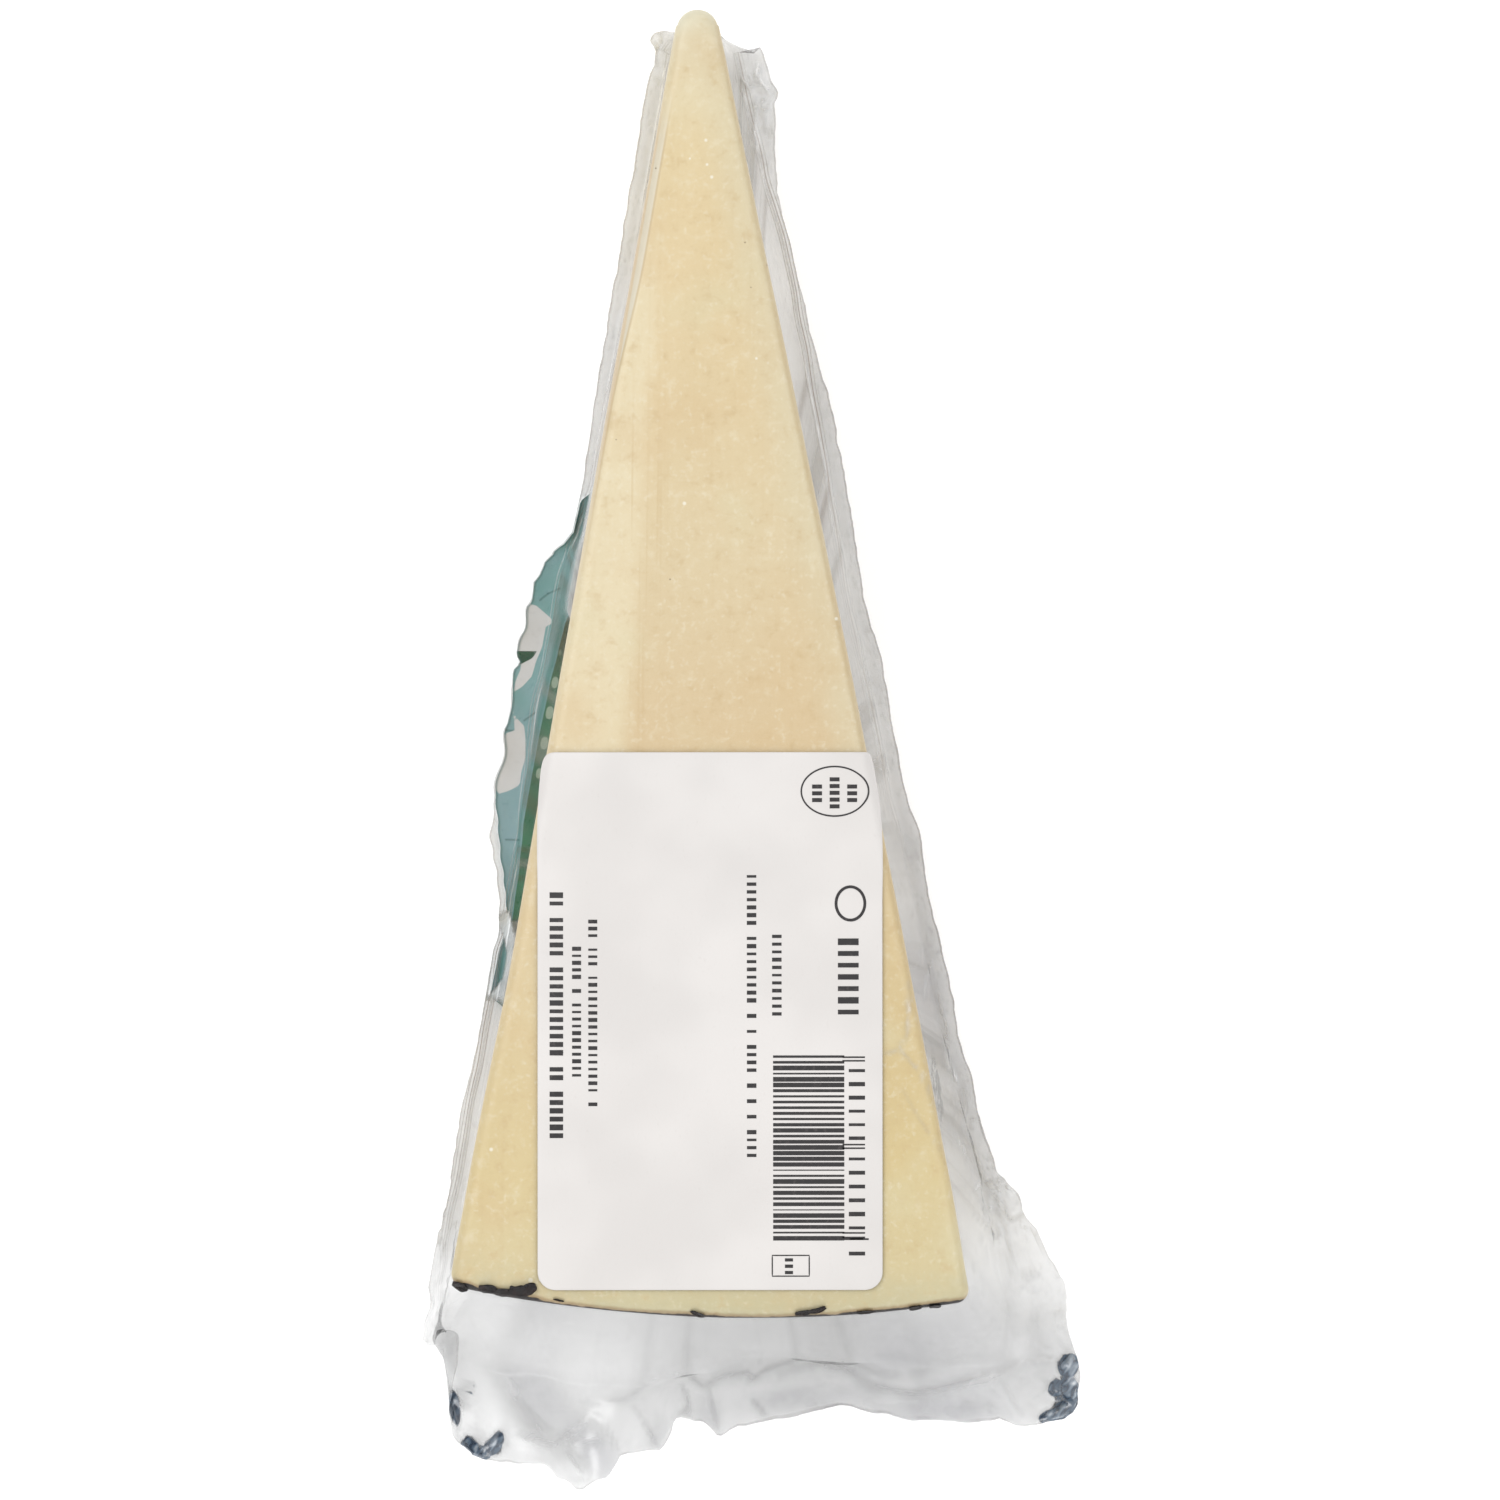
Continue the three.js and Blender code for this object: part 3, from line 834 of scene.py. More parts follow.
        end = lifts.side_end * smoothstep(along, lifts.side_end_from, self.shape.side_length)
        labelled = smoothstep(along, *lifts.labelled_from) - smoothstep(along, *lifts.labelled_to)
        labelled = np.where(self.wedge[:, 0] < 0, labelled, 0.0)
        side = lift(lifts.side) * (1 - labelled) + lift(lifts.labelled) * labelled + end
        rind = lift(lifts.rind) + lifts.per_draw * self.drawn
        zones = [zone == Zone.TIP, zone == Zone.SIDE, zone == Zone.CORNER]
        raw = np.select(zones, [lift(lifts.tip), side, lift(lifts.corner)], rind)
        return smoothed(raw, lifts.smoothing)

    @property
    def on_left(self) -> np.ndarray:
        """Which stations lie on the left side."""
        return (self.zone == Zone.SIDE) & (self.wedge[:, 0] < 0)

    @property
    def labelled(self) -> np.ndarray:
        """Where the green label lies under the skirt, from 0 to 1."""
        inside = smoothstep(self.along, *self.label_from) - smoothstep(self.along, *self.label_to)
        return np.where(self.on_left, inside, 0.0)

    def back_rings(self, gap: float, shares: Sequence[float], turns: int) -> list[np.ndarray]:
        """Rings over the wedge's back and down round its rounded edge.

        Args:
            gap: How far they lie inside the wedge.
            shares: How far out from the middle each ring on the back is.
            turns: The number of rings round the edge.

        Returns:
            The rings.
        """
        shape = self.shape
        edge, radius = self.wedge - self.normal * gap, shape.edge_round - gap
        places = [(MIDDLE + (edge - self.normal * radius - MIDDLE) * share, 1.0) for share in shares]
        for turn in np.linspace(0.0, math.pi / 2, turns):
            places.append((edge + self.normal * radius * (math.sin(turn) - 1.0), math.cos(turn)))
        top = shape.back - shape.edge_round
        return [np.column_stack([xy, top + radius * up - shape.back_drop(*xy.T)]) for xy, up in places]


# ---------------------------------------------------------------------------------------------------
# The film


@dataclass(frozen=True)
class Fold:
    """A crease in the film: the line it follows, its height, its half width, and how white its crest is,
    partly milky haze and partly a painted highlight.
    """

    path: Path
    height: float
    width: float
    haze_and_highlight: float


@dataclass(frozen=True)
class Patch:
    """A soft oval on the film, with an amount of something at its middle."""

    x: float
    y: float
    length: float
    width: float
    amount: float
    turn: float = 0.0

    def over(self, points: np.ndarray) -> np.ndarray:
        """The amount at each point.

        Args:
            points: The points, in the plane.

        Returns:
            The amount, which falls away smoothly from the oval's middle.
        """
        angle = math.radians(self.turn)
        dx, dy = points[:, 0] - self.x, points[:, 1] - self.y
        u = (dx * math.cos(angle) + dy * math.sin(angle)) / self.length
        v = (dy * math.cos(angle) - dx * math.sin(angle)) / self.width
        return self.amount * np.exp(-((u * u + v * v) ** 1.5))


FOLDS = (
    # the wavy ridge where the drawn film meets the flat rim, past the rind
    Fold(((-16.2, -84.9), (-12, -85), (-9.7, -84.3), (-8.1, -82.7), (-6.5, -81.6), (-4.6, -81.4),
          (-3.1, -82.2), (-1.7, -83.4), (-0.4, -83), (1.2, -82.3), (3.5, -81.9), (4.2, -82.5),
          (6.2, -81.4), (8.6, -80.8), (10.1, -79.8), (12.4, -79.5), (14.7, -80), (16.3, -81.2),
          (18.2, -81.9), (20.1, -82.5), (21.6, -81.9)), 0.7, 0.7, 0.55),
    Fold(((7, -82.2), (10.5, -81.2), (14.3, -81.5), (18.1, -83.5), (22.1, -84.3), (25.9, -84),
          (29.7, -83.2), (33.2, -82.5), (36, -81), (39.9, -80.7)), 0.8, 1, 0.6),
    Fold(((22.8, -82.7), (25.9, -80.8), (29.1, -79.3), (32.1, -76.7), (35, -73.6)), 1.2, 1.8, 0.35),
    Fold(((-29.9, -73), (-26.2, -79.7), (-23.6, -84), (-21.6, -87.5), (-19, -91),
          (-15.9, -94.1)), 1.6, 2.2, 0.5),
    Fold(((-23.7, -88.7), (-19.7, -89.9), (-17.4, -88.8), (-15.1, -87.2), (-14.4, -86.1)), 0.7, 0.9, 0.5),
    Fold(((-14.4, -86.1), (-12.9, -88.3), (-11.3, -90.4)), 0.6, 0.8, 0.4),
    Fold(((-9.7, -85.4), (-8.1, -87.9), (-6.6, -90.5)), 0.6, 0.7, 0.4),
    Fold(((-17.4, -90), (-14.7, -89.2), (-12.1, -89.2)), 0.6, 0.7, 0.5),
    Fold(((-17.9, -90.3), (-16.5, -92.4), (-15.2, -94.2)), 0.6, 0.6, 0.6),
    Fold(((-5.1, -87.3), (-3.1, -85.9)), 0.5, 0.7, 0.4),
    Fold(((-1, -83.6), (-0.6, -85.9), (0, -88.2)), 0.7, 0.7, 0.5),
    Fold(((-4.2, -83), (-3.4, -84.9), (-3.1, -86.8)), 0.5, 0.6, 0.4),
    Fold(((32, -84), (31.7, -86.7)), 0.5, 0.5, 0.5),
    Fold(((33.2, -83.2), (34.3, -85.2), (35.5, -87.2)), 0.6, 0.6, 0.5),
    Fold(((3.9, -84.4), (5.8, -86.3)), 0.5, 0.6, 0.5),
    Fold(((39.9, -74.8), (41.9, -77.2), (41.4, -80.3)), 0.6, 0.7, 0.4),
    Fold(((-33.1, -76.8), (-31.9, -73.9), (-31.3, -71.6)), 0.7, 0.8, 0.4),
    # the long fold from the cheese out over the right side of the skirt
    Fold(((25.9, -50.9), (28.4, -55.5), (29.9, -59), (31, -62.8), (31.5, -65.1)), 0.6, 0.45, 0.7),
    Fold(((26.3, -37.6), (26.8, -40.2), (27.4, -42.6), (26.9, -43.7), (26.9, -45.7), (27.5, -47.2),
          (28.3, -48)), 0.35, 0.35, 0.7),
    Fold(((27.7, -43.4), (27.2, -44.8), (27.5, -46.4), (28.3, -48)), 0.4, 0.35, 0.8),
    Fold(((29, -48.8), (29.4, -51.2), (28.9, -53.8), (30.1, -55.8), (31.2, -58.5), (31.6, -60),
          (33.1, -60.8), (32.3, -62)), 0.4, 0.4, 0.7),
    Fold(((24.2, -32.1), (24, -34.9)), 0.3, 0.35, 0.6),
    Fold(((25.7, -34.3), (24.8, -36.4), (24.4, -39)), 0.35, 0.35, 0.7),
    Fold(((32, -61.2), (33.5, -62.8), (34.6, -64.3), (36.2, -63.5)), 0.6, 0.6, 0.8),
    Fold(((30, -62), (33.1, -63.7), (34.2, -66.6)), 0.6, 0.6, 0.7),
    # the ears at the thin end
    Fold(((6.4, 66.4), (6.3, 63.5), (6, 60.1)), 0.7, 0.5, 0.6),
    Fold(((4.6, 68.4), (6.1, 67.7), (7.3, 68.2)), 0.7, 0.5, 0.6),
    Fold(((6.7, 70.5), (7.2, 68.2), (8.7, 66.3)), 0.6, 0.5, 0.6),
    Fold(((5.8, 65.5), (7.3, 64.9), (8.3, 65.2)), 0.6, 0.4, 0.6),
    Fold(((-4.9, 72.9), (-5.5, 71.6), (-4.8, 70)), 0.6, 0.6, 0.5),
)
BACK_FOLDS = (
    Fold(((22.1, -35.3), (21.9, -41.2), (21.1, -42.8), (23.3, -45.7), (25.1, -49.5)), 0.1, 0.3, 0.55),
    Fold(((19.2, -43.3), (21.1, -43)), 0.08, 0.25, 0.5),
    Fold(((22.5, -36.7), (21.6, -41.1)), 0.08, 0.25, 0.45),
    Fold(((21.1, -47), (23, -50.5), (26, -55)), 0.06, 0.3, 0.25),
)
# where the film is crumpled, and how strongly
CRUMPLED = (
    Patch(-5.2, 71.3, 3, 3, 0.6), Patch(7.4, 67, 3.4, 2.4, 1), Patch(7.6, 62, 3, 1.4, 0.5, 90),
    Patch(33, -62.5, 5, 4.5, 1), Patch(30, -52, 8, 3, 0.3, -65), Patch(37, -68, 5, 4.5, 0.6),
    Patch(40.5, -78, 4, 3, 0.4), Patch(39.7, -84.3, 3.6, 3, 0.3), Patch(-30, -84.8, 3.2, 2, 0.4, 90),
    Patch(-27.3, -89.8, 3.2, 2.6, 0.3), Patch(-32.5, -75.5, 4, 2.6, 0.6, 70),
    Patch(-31.5, -66, 6, 2, 0.5, 90),
)
# pockets in the film: the dents and blisters that are wider than a fold
POCKETS = (
    Patch(-20.8, -84.5, 6.2, 3.4, -0.9, -42), Patch(-13.5, -91.5, 4, 2.6, -0.7, -50),
    Patch(-4.6, -85, 2.6, 1.8, 0.6), Patch(8, -85, 6, 1.8, -0.4, 8), Patch(24, -86.8, 9, 1.8, -0.5),
    Patch(39.8, -75, 4, 2.6, 1, 70), Patch(-33.2, -77, 2.4, 1.6, 0.8), Patch(30, -79, 4, 2.5, -0.6, 30),
)
# where flakes of rind lift the film
FLAKE_LIFTS = (
    Patch(-27.9, -68.8, 1.4, 0.8, 0.3), Patch(-24.2, -69, 2, 1, 0.35), Patch(-21, -69, 1.8, 1, 0.35),
    Patch(-1.5, -72.1, 1.4, 0.7, 0.3), Patch(10.8, -71.7, 2, 0.8, 0.3),
)
# painted shade and light on the film's facets, dents and folds: darker and lilac where the amount is more,
# clearer where it is less
FACET_SHADES = (
    Patch(-19, -83, 15, 13, -0.5), Patch(30, -80, 13, 7, 0.2), Patch(8.5, 50, 1.8, 16, -0.8, 11),
    Patch(24.3, -38.5, 1.8, 7, 1, 10), Patch(-32.4, -75.2, 2, 3, -0.5), Patch(-28.2, -52, 1.4, 14, -0.4),
    Patch(-30.9, -72.3, 2.4, 4, -0.9), Patch(-20.8, -84.3, 6.6, 3.6, 0.9, -42),
    Patch(-13.4, -91.4, 4.2, 2.4, 0.9, -50), Patch(-6.8, -88.6, 2.6, 1.4, 0.6, 60),
    Patch(10, -84.6, 8, 1.3, 0.7, 4), Patch(25, -86.4, 9, 1.5, 0.7, -2),
    Patch(25, -77.5, 9, 2.6, 0.6, 28), Patch(-20, -73.4, 7, 2.2, 0.5, -6), Patch(-1, -86.2, 1.4, 2, 0.6),
    Patch(-26.5, -86.5, 4, 3, -0.2), Patch(-9.8, -87.4, 3.4, 2.4, -0.15), Patch(28, -84.5, 5, 2, 0.3),
    Patch(35, -66, 5, 4, -0.8), Patch(36.5, -72, 6, 4, -0.7), Patch(27.2, -36, 3, 24, 0.5, 11),
    Patch(17.5, 22, 2.5, 34, 0.3, 10), Patch(6.2, 65.5, 2.2, 4, -0.5), Patch(-15, -78, 9, 3, -0.3, -5),
)
# the corners where the film's printed edge is rolled up into dark lobes
LOBES = (
    Patch(40.8, -81.2, 1.2, 1.5, 1, -25), Patch(40.9, -84, 1.2, 1.7, 1, 14),
    Patch(39.4, -83.9, 1.2, 1, 0.85, 60), Patch(40.2, -86.5, 1.9, 1.1, 1, 35),
    Patch(38.8, -87.2, 1.6, 0.9, 0.9, 10), Patch(-30.4, -85.3, 0.8, 2.6, 0.62, 8),
    Patch(-28.6, -90.1, 1.2, 1.7, 0.85, 12), Patch(-26.7, -90.3, 1.9, 0.75, 0.95, 48),
    Patch(-25.7, -89.5, 1.6, 0.85, 0.9, 62),
)
SMUDGES = (Patch(-28.7, -83.2, 0.9, 1.2, 0.4, -30), Patch(29.6, -69.4, 0.45, 1.3, 0.42, 6))
# the generic marks of a print that shows from below
HATCH = (Patch(25.5, -47.2, 0.7, 2.2, 0.9, 6), Patch(26.1, -50.4, 0.4, 1.8, 1, 6))
# how far the green label reaches out under the film, by along
LABEL_REACH: Keys = (
    (51.5, -7), (52.7, 1.2), (54.6, 2.45), (58.1, 2.6), (59.1, 3.2), (60.9, 4.5), (62.2, 5.3),
    (63.8, 5.6), (64.4, 6.1), (66.8, 6), (67.7, 6.5), (69.8, 6.2), (71.8, 6.7), (73.1, 6.7), (74.1, 6.1),
    (75.1, 6.7), (79.4, 6.2), (81.1, 6.3), (82.2, 6.55), (85, 6), (88.3, 6.55), (90.2, 6.2), (93.1, 5.4),
    (96.2, 4.6), (99, 3.7), (101.5, 3), (103.6, 2.45), (104.7, 2.45), (105.9, 2.6), (107.7, 2.8),
    (111.7, 2.85), (112.8, 2.9), (114, 1), (119, -3), (127, -11),
)
# where the film stands up between the green label and the cheese and hides the label, with a painted pale
# sheen over the shade there, by along and reach
SHEEN_FIELDS: tuple[Path, ...] = (
    (
        (48, -1), (51, 1.2), (52.5, 1.4), (54, 1.55), (58, 1.55), (60.6, 1.8), (65, 1.95), (67.2, 1.85),
        (68.2, 1.2), (68.6, -1),
    ),
    (
        (103, 2.4), (104.6, 1.6), (105.5, 0.8), (106, -1), (113, -1), (113, 3.2), (112.9, 2.9),
        (112, 2.3), (110.7, 1.75), (109.4, 1.7), (107.5, 1.8), (106, 2.3), (105, 2.9), (104.2, 3.4),
        (103.2, 3.3),
    ),
)


def total(patches: Sequence[Patch], points: np.ndarray) -> np.ndarray:
    """The sum of some patches at each point."""
    return sum(patch.over(points) for patch in patches)


def highest(patches: Sequence[Patch], points: np.ndarray) -> np.ndarray:
    """The largest of some patches at each point."""
    return np.max([patch.over(points) for patch in patches], axis=0)


@dataclass(frozen=True)
class FilmFinish:
    """Clear film: almost nothing over the cheese, and a grey, hazy skirt with white creases that are partly
    painted highlights.
    """

    skirt_alpha: float = 0.205
    back_alpha: float = 0.03
    roughness: float = 0.24
    index: float = 2.1
    lobe_colors: tuple[tuple[float, Color], ...] = (
        (0.46, paint(84, 104, 124)), (0.58, paint(44, 60, 80)), (0.70, paint(96, 116, 136)),
        (0.86, paint(160, 172, 184)), (1.0, paint(196, 198, 204)),
    )

    def material(self) -> Material:
        """Makes the material.

        Returns:
            The material.
        """
        shader = Shader("clear_film")
        names = ("veil", "haze_and_highlight", "ink", "weld_gap", "weld_shown", "pale", "hatch")
        veil, haze_and_highlight, ink, gap, shown, pale, hatch = (shader.attribute(name) for name in names)
        cloud = shader.noise(6.0, 2.0, 0.6)
        # the weld: painted highlight lines on its ridge (line, and a second one further out), with tan lines
        # on either side (flank)
        line = shader.bell(gap, 0.0, 0.20) * shown
        flank = (shader.bell(gap, 0.29, 0.13) + shader.bell(gap, -0.27, 0.12) * 0.8) * shown
        second = shader.bell(gap, 0.66, 0.12) * shown
        edge = shader.rise(shader.attribute("rim_gap"), 0.30, 0.05)
        # white: the crests' milky haze with painted highlights on it, and the painted highlight lines along
        # the weld
        white = (haze_and_highlight * (0.7 + 0.6 * cloud) + line * 0.8 + second * 0.5).clamped()
        # painted shade: the grey turns darker and lilac where the facet patches put the film facing away
        # from the light
        grey = shader.mix(paint(172, 173, 173), paint(146, 146, 158), shader.attribute("facet_shade").clamped())
        x, y, _ = shader.axes()
        # painted bounce light: a warm tint thrown by the cheese onto the film near the thin end's left
        warm_bounce = shader.rise(y, 38.0, 52.0) * shader.rise(x, 7.0, -2.0)
        grey = shader.mix(grey, paint(178, 160, 98), warm_bounce * 0.75)
        color = shader.mix(grey, paint(150, 116, 82), (flank * 0.9 + edge * 0.2).clamped())
        color = shader.mix(color, shader.mix(paint(253, 253, 253), paint(250, 244, 222), warm_bounce), white)
        # painted light: a pale sheen where the film stands up by the green label, painted over the shade in
        # that corner
        color = shader.mix(color, paint(232, 238, 240), pale)
        streak = shader.noise(1.0, 1.0, 0.5, at=shader.stretched((1.5, 0.45, 0.6), 35.0), seed=9.0)
        rolled = ink * 0.32 + (streak - 0.5) * 1.25 + 0.42
        lobe = shader.node("ShaderNodeValToRGB", {0: rolled}, stops=self.lobe_colors)
        inked = shader.rise(ink, 0.34, 0.46)
        color = shader.mix(color, lobe, inked)
        color = shader.mix(color, paint(96, 98, 96), shader.rise(hatch, 0.1, 0.2))

        alpha = self.back_alpha + veil * (self.skirt_alpha + (cloud - 0.5) * 0.10) + white * 0.45
        alpha = alpha + flank * 0.26 + edge * veil * 0.14 + inked * 0.66
        alpha = alpha + shader.rise(ink, 0.12, 0.36) * 0.10
        alpha = (alpha + pale * 0.70 + shader.rise(hatch, 0.12, 0.5) * 0.5).clamped()
        rough = self.roughness + cloud * 0.06
        return shader.surface(Base_Color=color, Alpha=alpha, Roughness=rough, IOR=self.index)


@dataclass
class Film:
    """The film: one closed skin over the back of the wedge, down its sides and out to the skirt's rim."""

    shape: WedgeShape
    outline: Outline
    finish: FilmFinish = field(default_factory=FilmFinish)
    thickness: float = 0.26
    bead: float = 0.30
    bead_width: float = 0.5
    fillet_power: float = 3.5
    wall_power: float = 1.7
    back_shares: tuple[float, ...] = (0.12, 0.3, 0.45, 0.58)
    dense_share: float = 0.36
    dense_power: float = 1.3
    edge_rings: int = 6
    back_rings: int = 22
    wall_rings: int = 18
    skirt_rings: int = 34
    under_rings: int = 9
    rim_waver: float = 0.14
    labelled_veil: float = 0.08
    tent_veil: float = 0.5
    weld_fades_right: tuple[float, float] = (86.0, 100.0)
    weld_fades_left: tuple[float, float] = (120.0, 140.0)
    weld_left_at_end: float = 0.5
    weld_smoothing: int = 12
    wall_weld: float = 0.55
    wall_from: tuple[float, float] = (2.5, 7.0)
    foot_below: tuple[float, float] = (9.0, 3.5)
    low_below: tuple[float, float] = (14.0, 5.0)
    back_above: tuple[float, float] = (30.0, 38.5)
    past_rind: tuple[float, float] = (-68.0, -76.0)
    most_crumpled: float = 1.2
    sheen_below: tuple[float, float] = (18.0, 6.0)
    sheen_from: tuple[float, float] = (48.0, 53.0)
    cover_from: tuple[float, float] = (51.5, 53.0)
    cover_to: tuple[float, float] = (113.4, 112.4)

    def __post_init__(self) -> None:
        """Works out where the weld line shows, and gives the rim its small wavers."""
        outline = self.outline
        side = outline.zone == Zone.SIDE
        right = 1.0 - smoothstep(outline.along, *self.weld_fades_right)
        left = 1.0 - (1.0 - self.weld_left_at_end) * smoothstep(outline.along, *self.weld_fades_left)
        shown = np.where(side, np.where(outline.wedge[:, 0] < 0, left, right), 0.0)
        self.shown = smoothed(shown, self.weld_smoothing)
        flat = np.column_stack([outline.rim, np.zeros(len(outline.rim))])
        waver = soft_noise(flat, 1.9, 4.4) + 0.6 * soft_noise(flat, 0.9, 9.1)
        away = outline.rim - outline.seam
        away /= np.hypot(*away.T)[:, None]
        outline.rim = outline.rim + self.rim_waver * (waver * (1.2 - 0.7 * outline.labelled))[:, None] * away

    def _smooth_rings(self) -> tuple[np.ndarray, np.ndarray]:
        """The film without its folds.

        Returns:
            The rings from the top to the rim, and how veiled each of them is.
        """
        outline, base = self.outline, self.shape.underside + self.thickness
        near = np.linspace(1.0, 0.0, self.back_rings, endpoint=False) ** self.dense_power
        near = 1.0 - self.dense_share * near
        rings = outline.back_rings(0.0, (*self.back_shares, *near), self.edge_rings)
        veil = [0.0] * len(rings)
        top, bead = rings[-1][:, 2], self.bead * self.shown
        for height in (1.0 - np.arange(1, self.wall_rings) / self.wall_rings) ** self.wall_power:
            xy = outline.wedge + (outline.seam - outline.wedge) * (1.0 - height) ** self.fillet_power
            rings.append(np.column_stack([xy, base + bead + (top - base - bead) * height]))
            tent, foot = smoothstep(height, 0.6, 0.1), smoothstep(height, 0.06, 0.0)
            veil.append(self.tent_veil * tent + (1.0 - self.tent_veil) * foot)
        for share in np.linspace(0.0, 1.0, self.skirt_rings):
            xy = outline.seam + (outline.rim - outline.seam) * share
            raised = bead * np.exp(-np.hypot(*(xy - outline.seam).T) / self.bead_width)
            rings.append(np.column_stack([xy, base + outline.lift * share**outline.lifts.power + raised]))
            veil.append(1.0)
        return np.array(rings), np.array(veil)

    def build(self) -> Piece:
        """Makes the film.

        Returns:
            The piece.
        """
        shape, outline = self.shape, self.outline
        smooth, veil = self._smooth_rings()
        relief, haze_and_highlight = self._relief(smooth)
        walls = len(smooth) - self.skirt_rings
        upper = smooth + relief[..., None] * outward(smooth)
        least = np.where(outline.labelled > 0.01, smooth[walls:, :, 2], shape.underside + self.thickness)
        upper[walls:, :, 2] = np.maximum(upper[walls:, :, 2], least)
        picks = np.unique(np.linspace(walls, len(smooth) - 1, self.under_rings).astype(int))[::-1]
        lower = upper[picks] - (0.0, 0.0, self.thickness)
        lower[-1, :, 2] = shape.underside
        whole = np.concatenate([upper, lower])
        top = shape.back - shape.back_drop(*MIDDLE)
        data = closed_rings(whole, (*MIDDLE, top), (*MIDDLE, shape.underside))

        plan = data.points[:, :2]
        facet_shade = total(FACET_SHADES, plan)
        gaps = np.hypot(*np.moveaxis(whole[..., :2] - outline.seam, -1, 0))
        gaps[:walls] *= -1.0
        pale, cover = self._over_label(whole)
        layers = np.concatenate([veil, np.ones(len(lower))])[:, None]
        layers = layers * (1.0 - (1.0 - self.labelled_veil) * cover)
        low = 1.0 - (1.0 - self.wall_weld) * smoothstep(whole[..., 2], *self.wall_from)
        grids = {
            "weld_gap": gaps - outline.weld + 0.22 * soft_noise(whole, 5.0, 2.2),
            "weld_shown": self.shown * np.minimum(layers * 9.0, 1.0) * low,
            "rim_gap": np.hypot(*np.moveaxis(whole[..., :2] - outline.rim, -1, 0)),
            "haze_and_highlight": np.concatenate([haze_and_highlight, haze_and_highlight[picks] * 0.4]),
            "pale": pale,
        }
        numbers = {name: np.append(grid, [grid[0].mean(), grid[-1].mean()]) for name, grid in grids.items()}
        # the painted facet shade also makes the film more opaque where it is darker
        numbers["veil"] = np.append(layers, [0.0, 1.0]) * np.clip(1.0 + 0.5 * facet_shade, 0.3, 1.6)
        numbers["facet_shade"] = facet_shade
        numbers["hatch"] = total(HATCH, plan) * np.clip(creases(data.points, 0.55, 4.1) + 0.4, 0.0, 1.0)
        numbers["ink"] = self._ink(data.points)
        return data.piece("film", self.finish.material(), **numbers)

    def _over_label(self, rings: np.ndarray) -> tuple[np.ndarray, np.ndarray]:
        """How the film lies over the green label.

        Args:
            rings: The film's rings.

        Returns:
            Where the film stands up and gets the painted pale sheen, and how much of the label is under it.
        """
        outline, chosen = self.outline, self.outline.on_left
        pale, cover = np.zeros(rings.shape[:2]), np.zeros(rings.shape[:2])
        bulge = self.shape.bulge(outline.along[chosen] + self.shape.tip_distance)
        away = rings[:, chosen, :2] - outline.wedge[chosen]
        reach = np.sum(away * outline.normal[chosen], axis=-1) + bulge
        along = np.broadcast_to(outline.along[chosen], reach.shape)
        plan = np.stack([along.ravel(), reach.ravel()], axis=1)
        depth = field_depth(plan, SHEEN_FIELDS).reshape(reach.shape)
        height = np.maximum(rings[:, chosen, 2], 0.0)
        stands = smoothstep(depth / (1.0 + 0.5 * height), -0.10, 0.06) * smoothstep(height, *self.sheen_below)
        pale[:, chosen] = stands * smoothstep(along, *self.sheen_from)
        inside = smoothstep(profile(LABEL_REACH, outline.along[chosen]) - reach, -0.15, 0.05)
        cover[:, chosen] = inside * smoothstep(along, *self.cover_from) * smoothstep(along, *self.cover_to)
        return pale, cover

    @staticmethod
    def _ink(points: np.ndarray) -> np.ndarray:
        """How much of the dark print is on the film at each point."""
        plan = points[:, :2]
        ragged = 0.14 * soft_noise(points, 1.1, 2.5) + 0.12 * soft_noise(points, 0.5, 7.5)
        spots = total(SMUDGES, plan) * (1.0 + 0.9 * soft_noise(points, 0.35, 3.3))
        return smoothstep(points[:, 2], 20.0, 8.0) * (highest(LOBES, plan) * (1.0 + ragged) + spots)

    def _relief(self, rings: np.ndarray) -> tuple[np.ndarray, np.ndarray]:
        """The film's folds, pockets and crumples.

        Args:
            rings: The rings of the smooth film.

        Returns:
            How far each point moves out, and how white the film is there, partly haze and partly painted
            highlight.
        """
        points = rings.reshape(-1, 3)
        plan, height = points[:, :2], points[:, 2]
        foot = smoothstep(height, *self.foot_below)
        low = smoothstep(height, *self.low_below)
        back = smoothstep(height, *self.back_above)
        crumpled = np.clip(total(CRUMPLED, plan), 0.0, self.most_crumpled)
        sharp, tiny = creases(points, 3.1, 3.7), creases(points, 1.5, 8.1)
        slow = soft_noise(points, 9.0, 5.5)
        labelled = np.broadcast_to(self.outline.labelled, rings.shape[:2]).reshape(-1)
        past_rind = smoothstep(plan[:, 1], *self.past_rind)
        calm = (1 - 0.7 * labelled) * (1 - 0.65 * past_rind)
        relief = foot * (calm * 0.05 * sharp + crumpled * (0.42 * sharp + 0.16 * tiny))
        relief += foot * past_rind * 0.55 * slow + low * total(POCKETS, plan)
        relief += low * 0.7 * highest(LOBES, plan) + back * total(FLAKE_LIFTS, plan)
        # the whiteness of crumples and crinkles: partly milky haze, partly a painted highlight
        haze_and_highlight = foot * crumpled * smoothstep(sharp + 0.3 * tiny, 0.35, 0.95) * 0.8
        haze_and_highlight += foot * calm * 0.16 * smoothstep(tiny, 0.3, 0.9)
        for folds, mask in ((FOLDS, low), (BACK_FOLDS, back)):
            for fold in folds:
                line = along_path(fold.path, np.linspace(0.0, 1.0, 8 * len(fold.path)))
                distance, share = path_distance(plan, line)
                ends = np.clip(4.0 * share * (1.0 - share), 0.0, 1.0) ** 0.35
                ridge = 0.5 * fold.height / (1.0 + (distance / (1.2 * fold.width)) ** 2) ** 1.5
                relief += mask * ends * ridge
                haze_and_highlight += mask * ends * fold.haze_and_highlight * np.exp(-((distance / (0.55 * fold.width)) ** 2))
        return relief.reshape(rings.shape[:2]), np.clip(haze_and_highlight, 0.0, 1.0).reshape(rings.shape[:2])


# ---------------------------------------------------------------------------------------------------
# The cheese


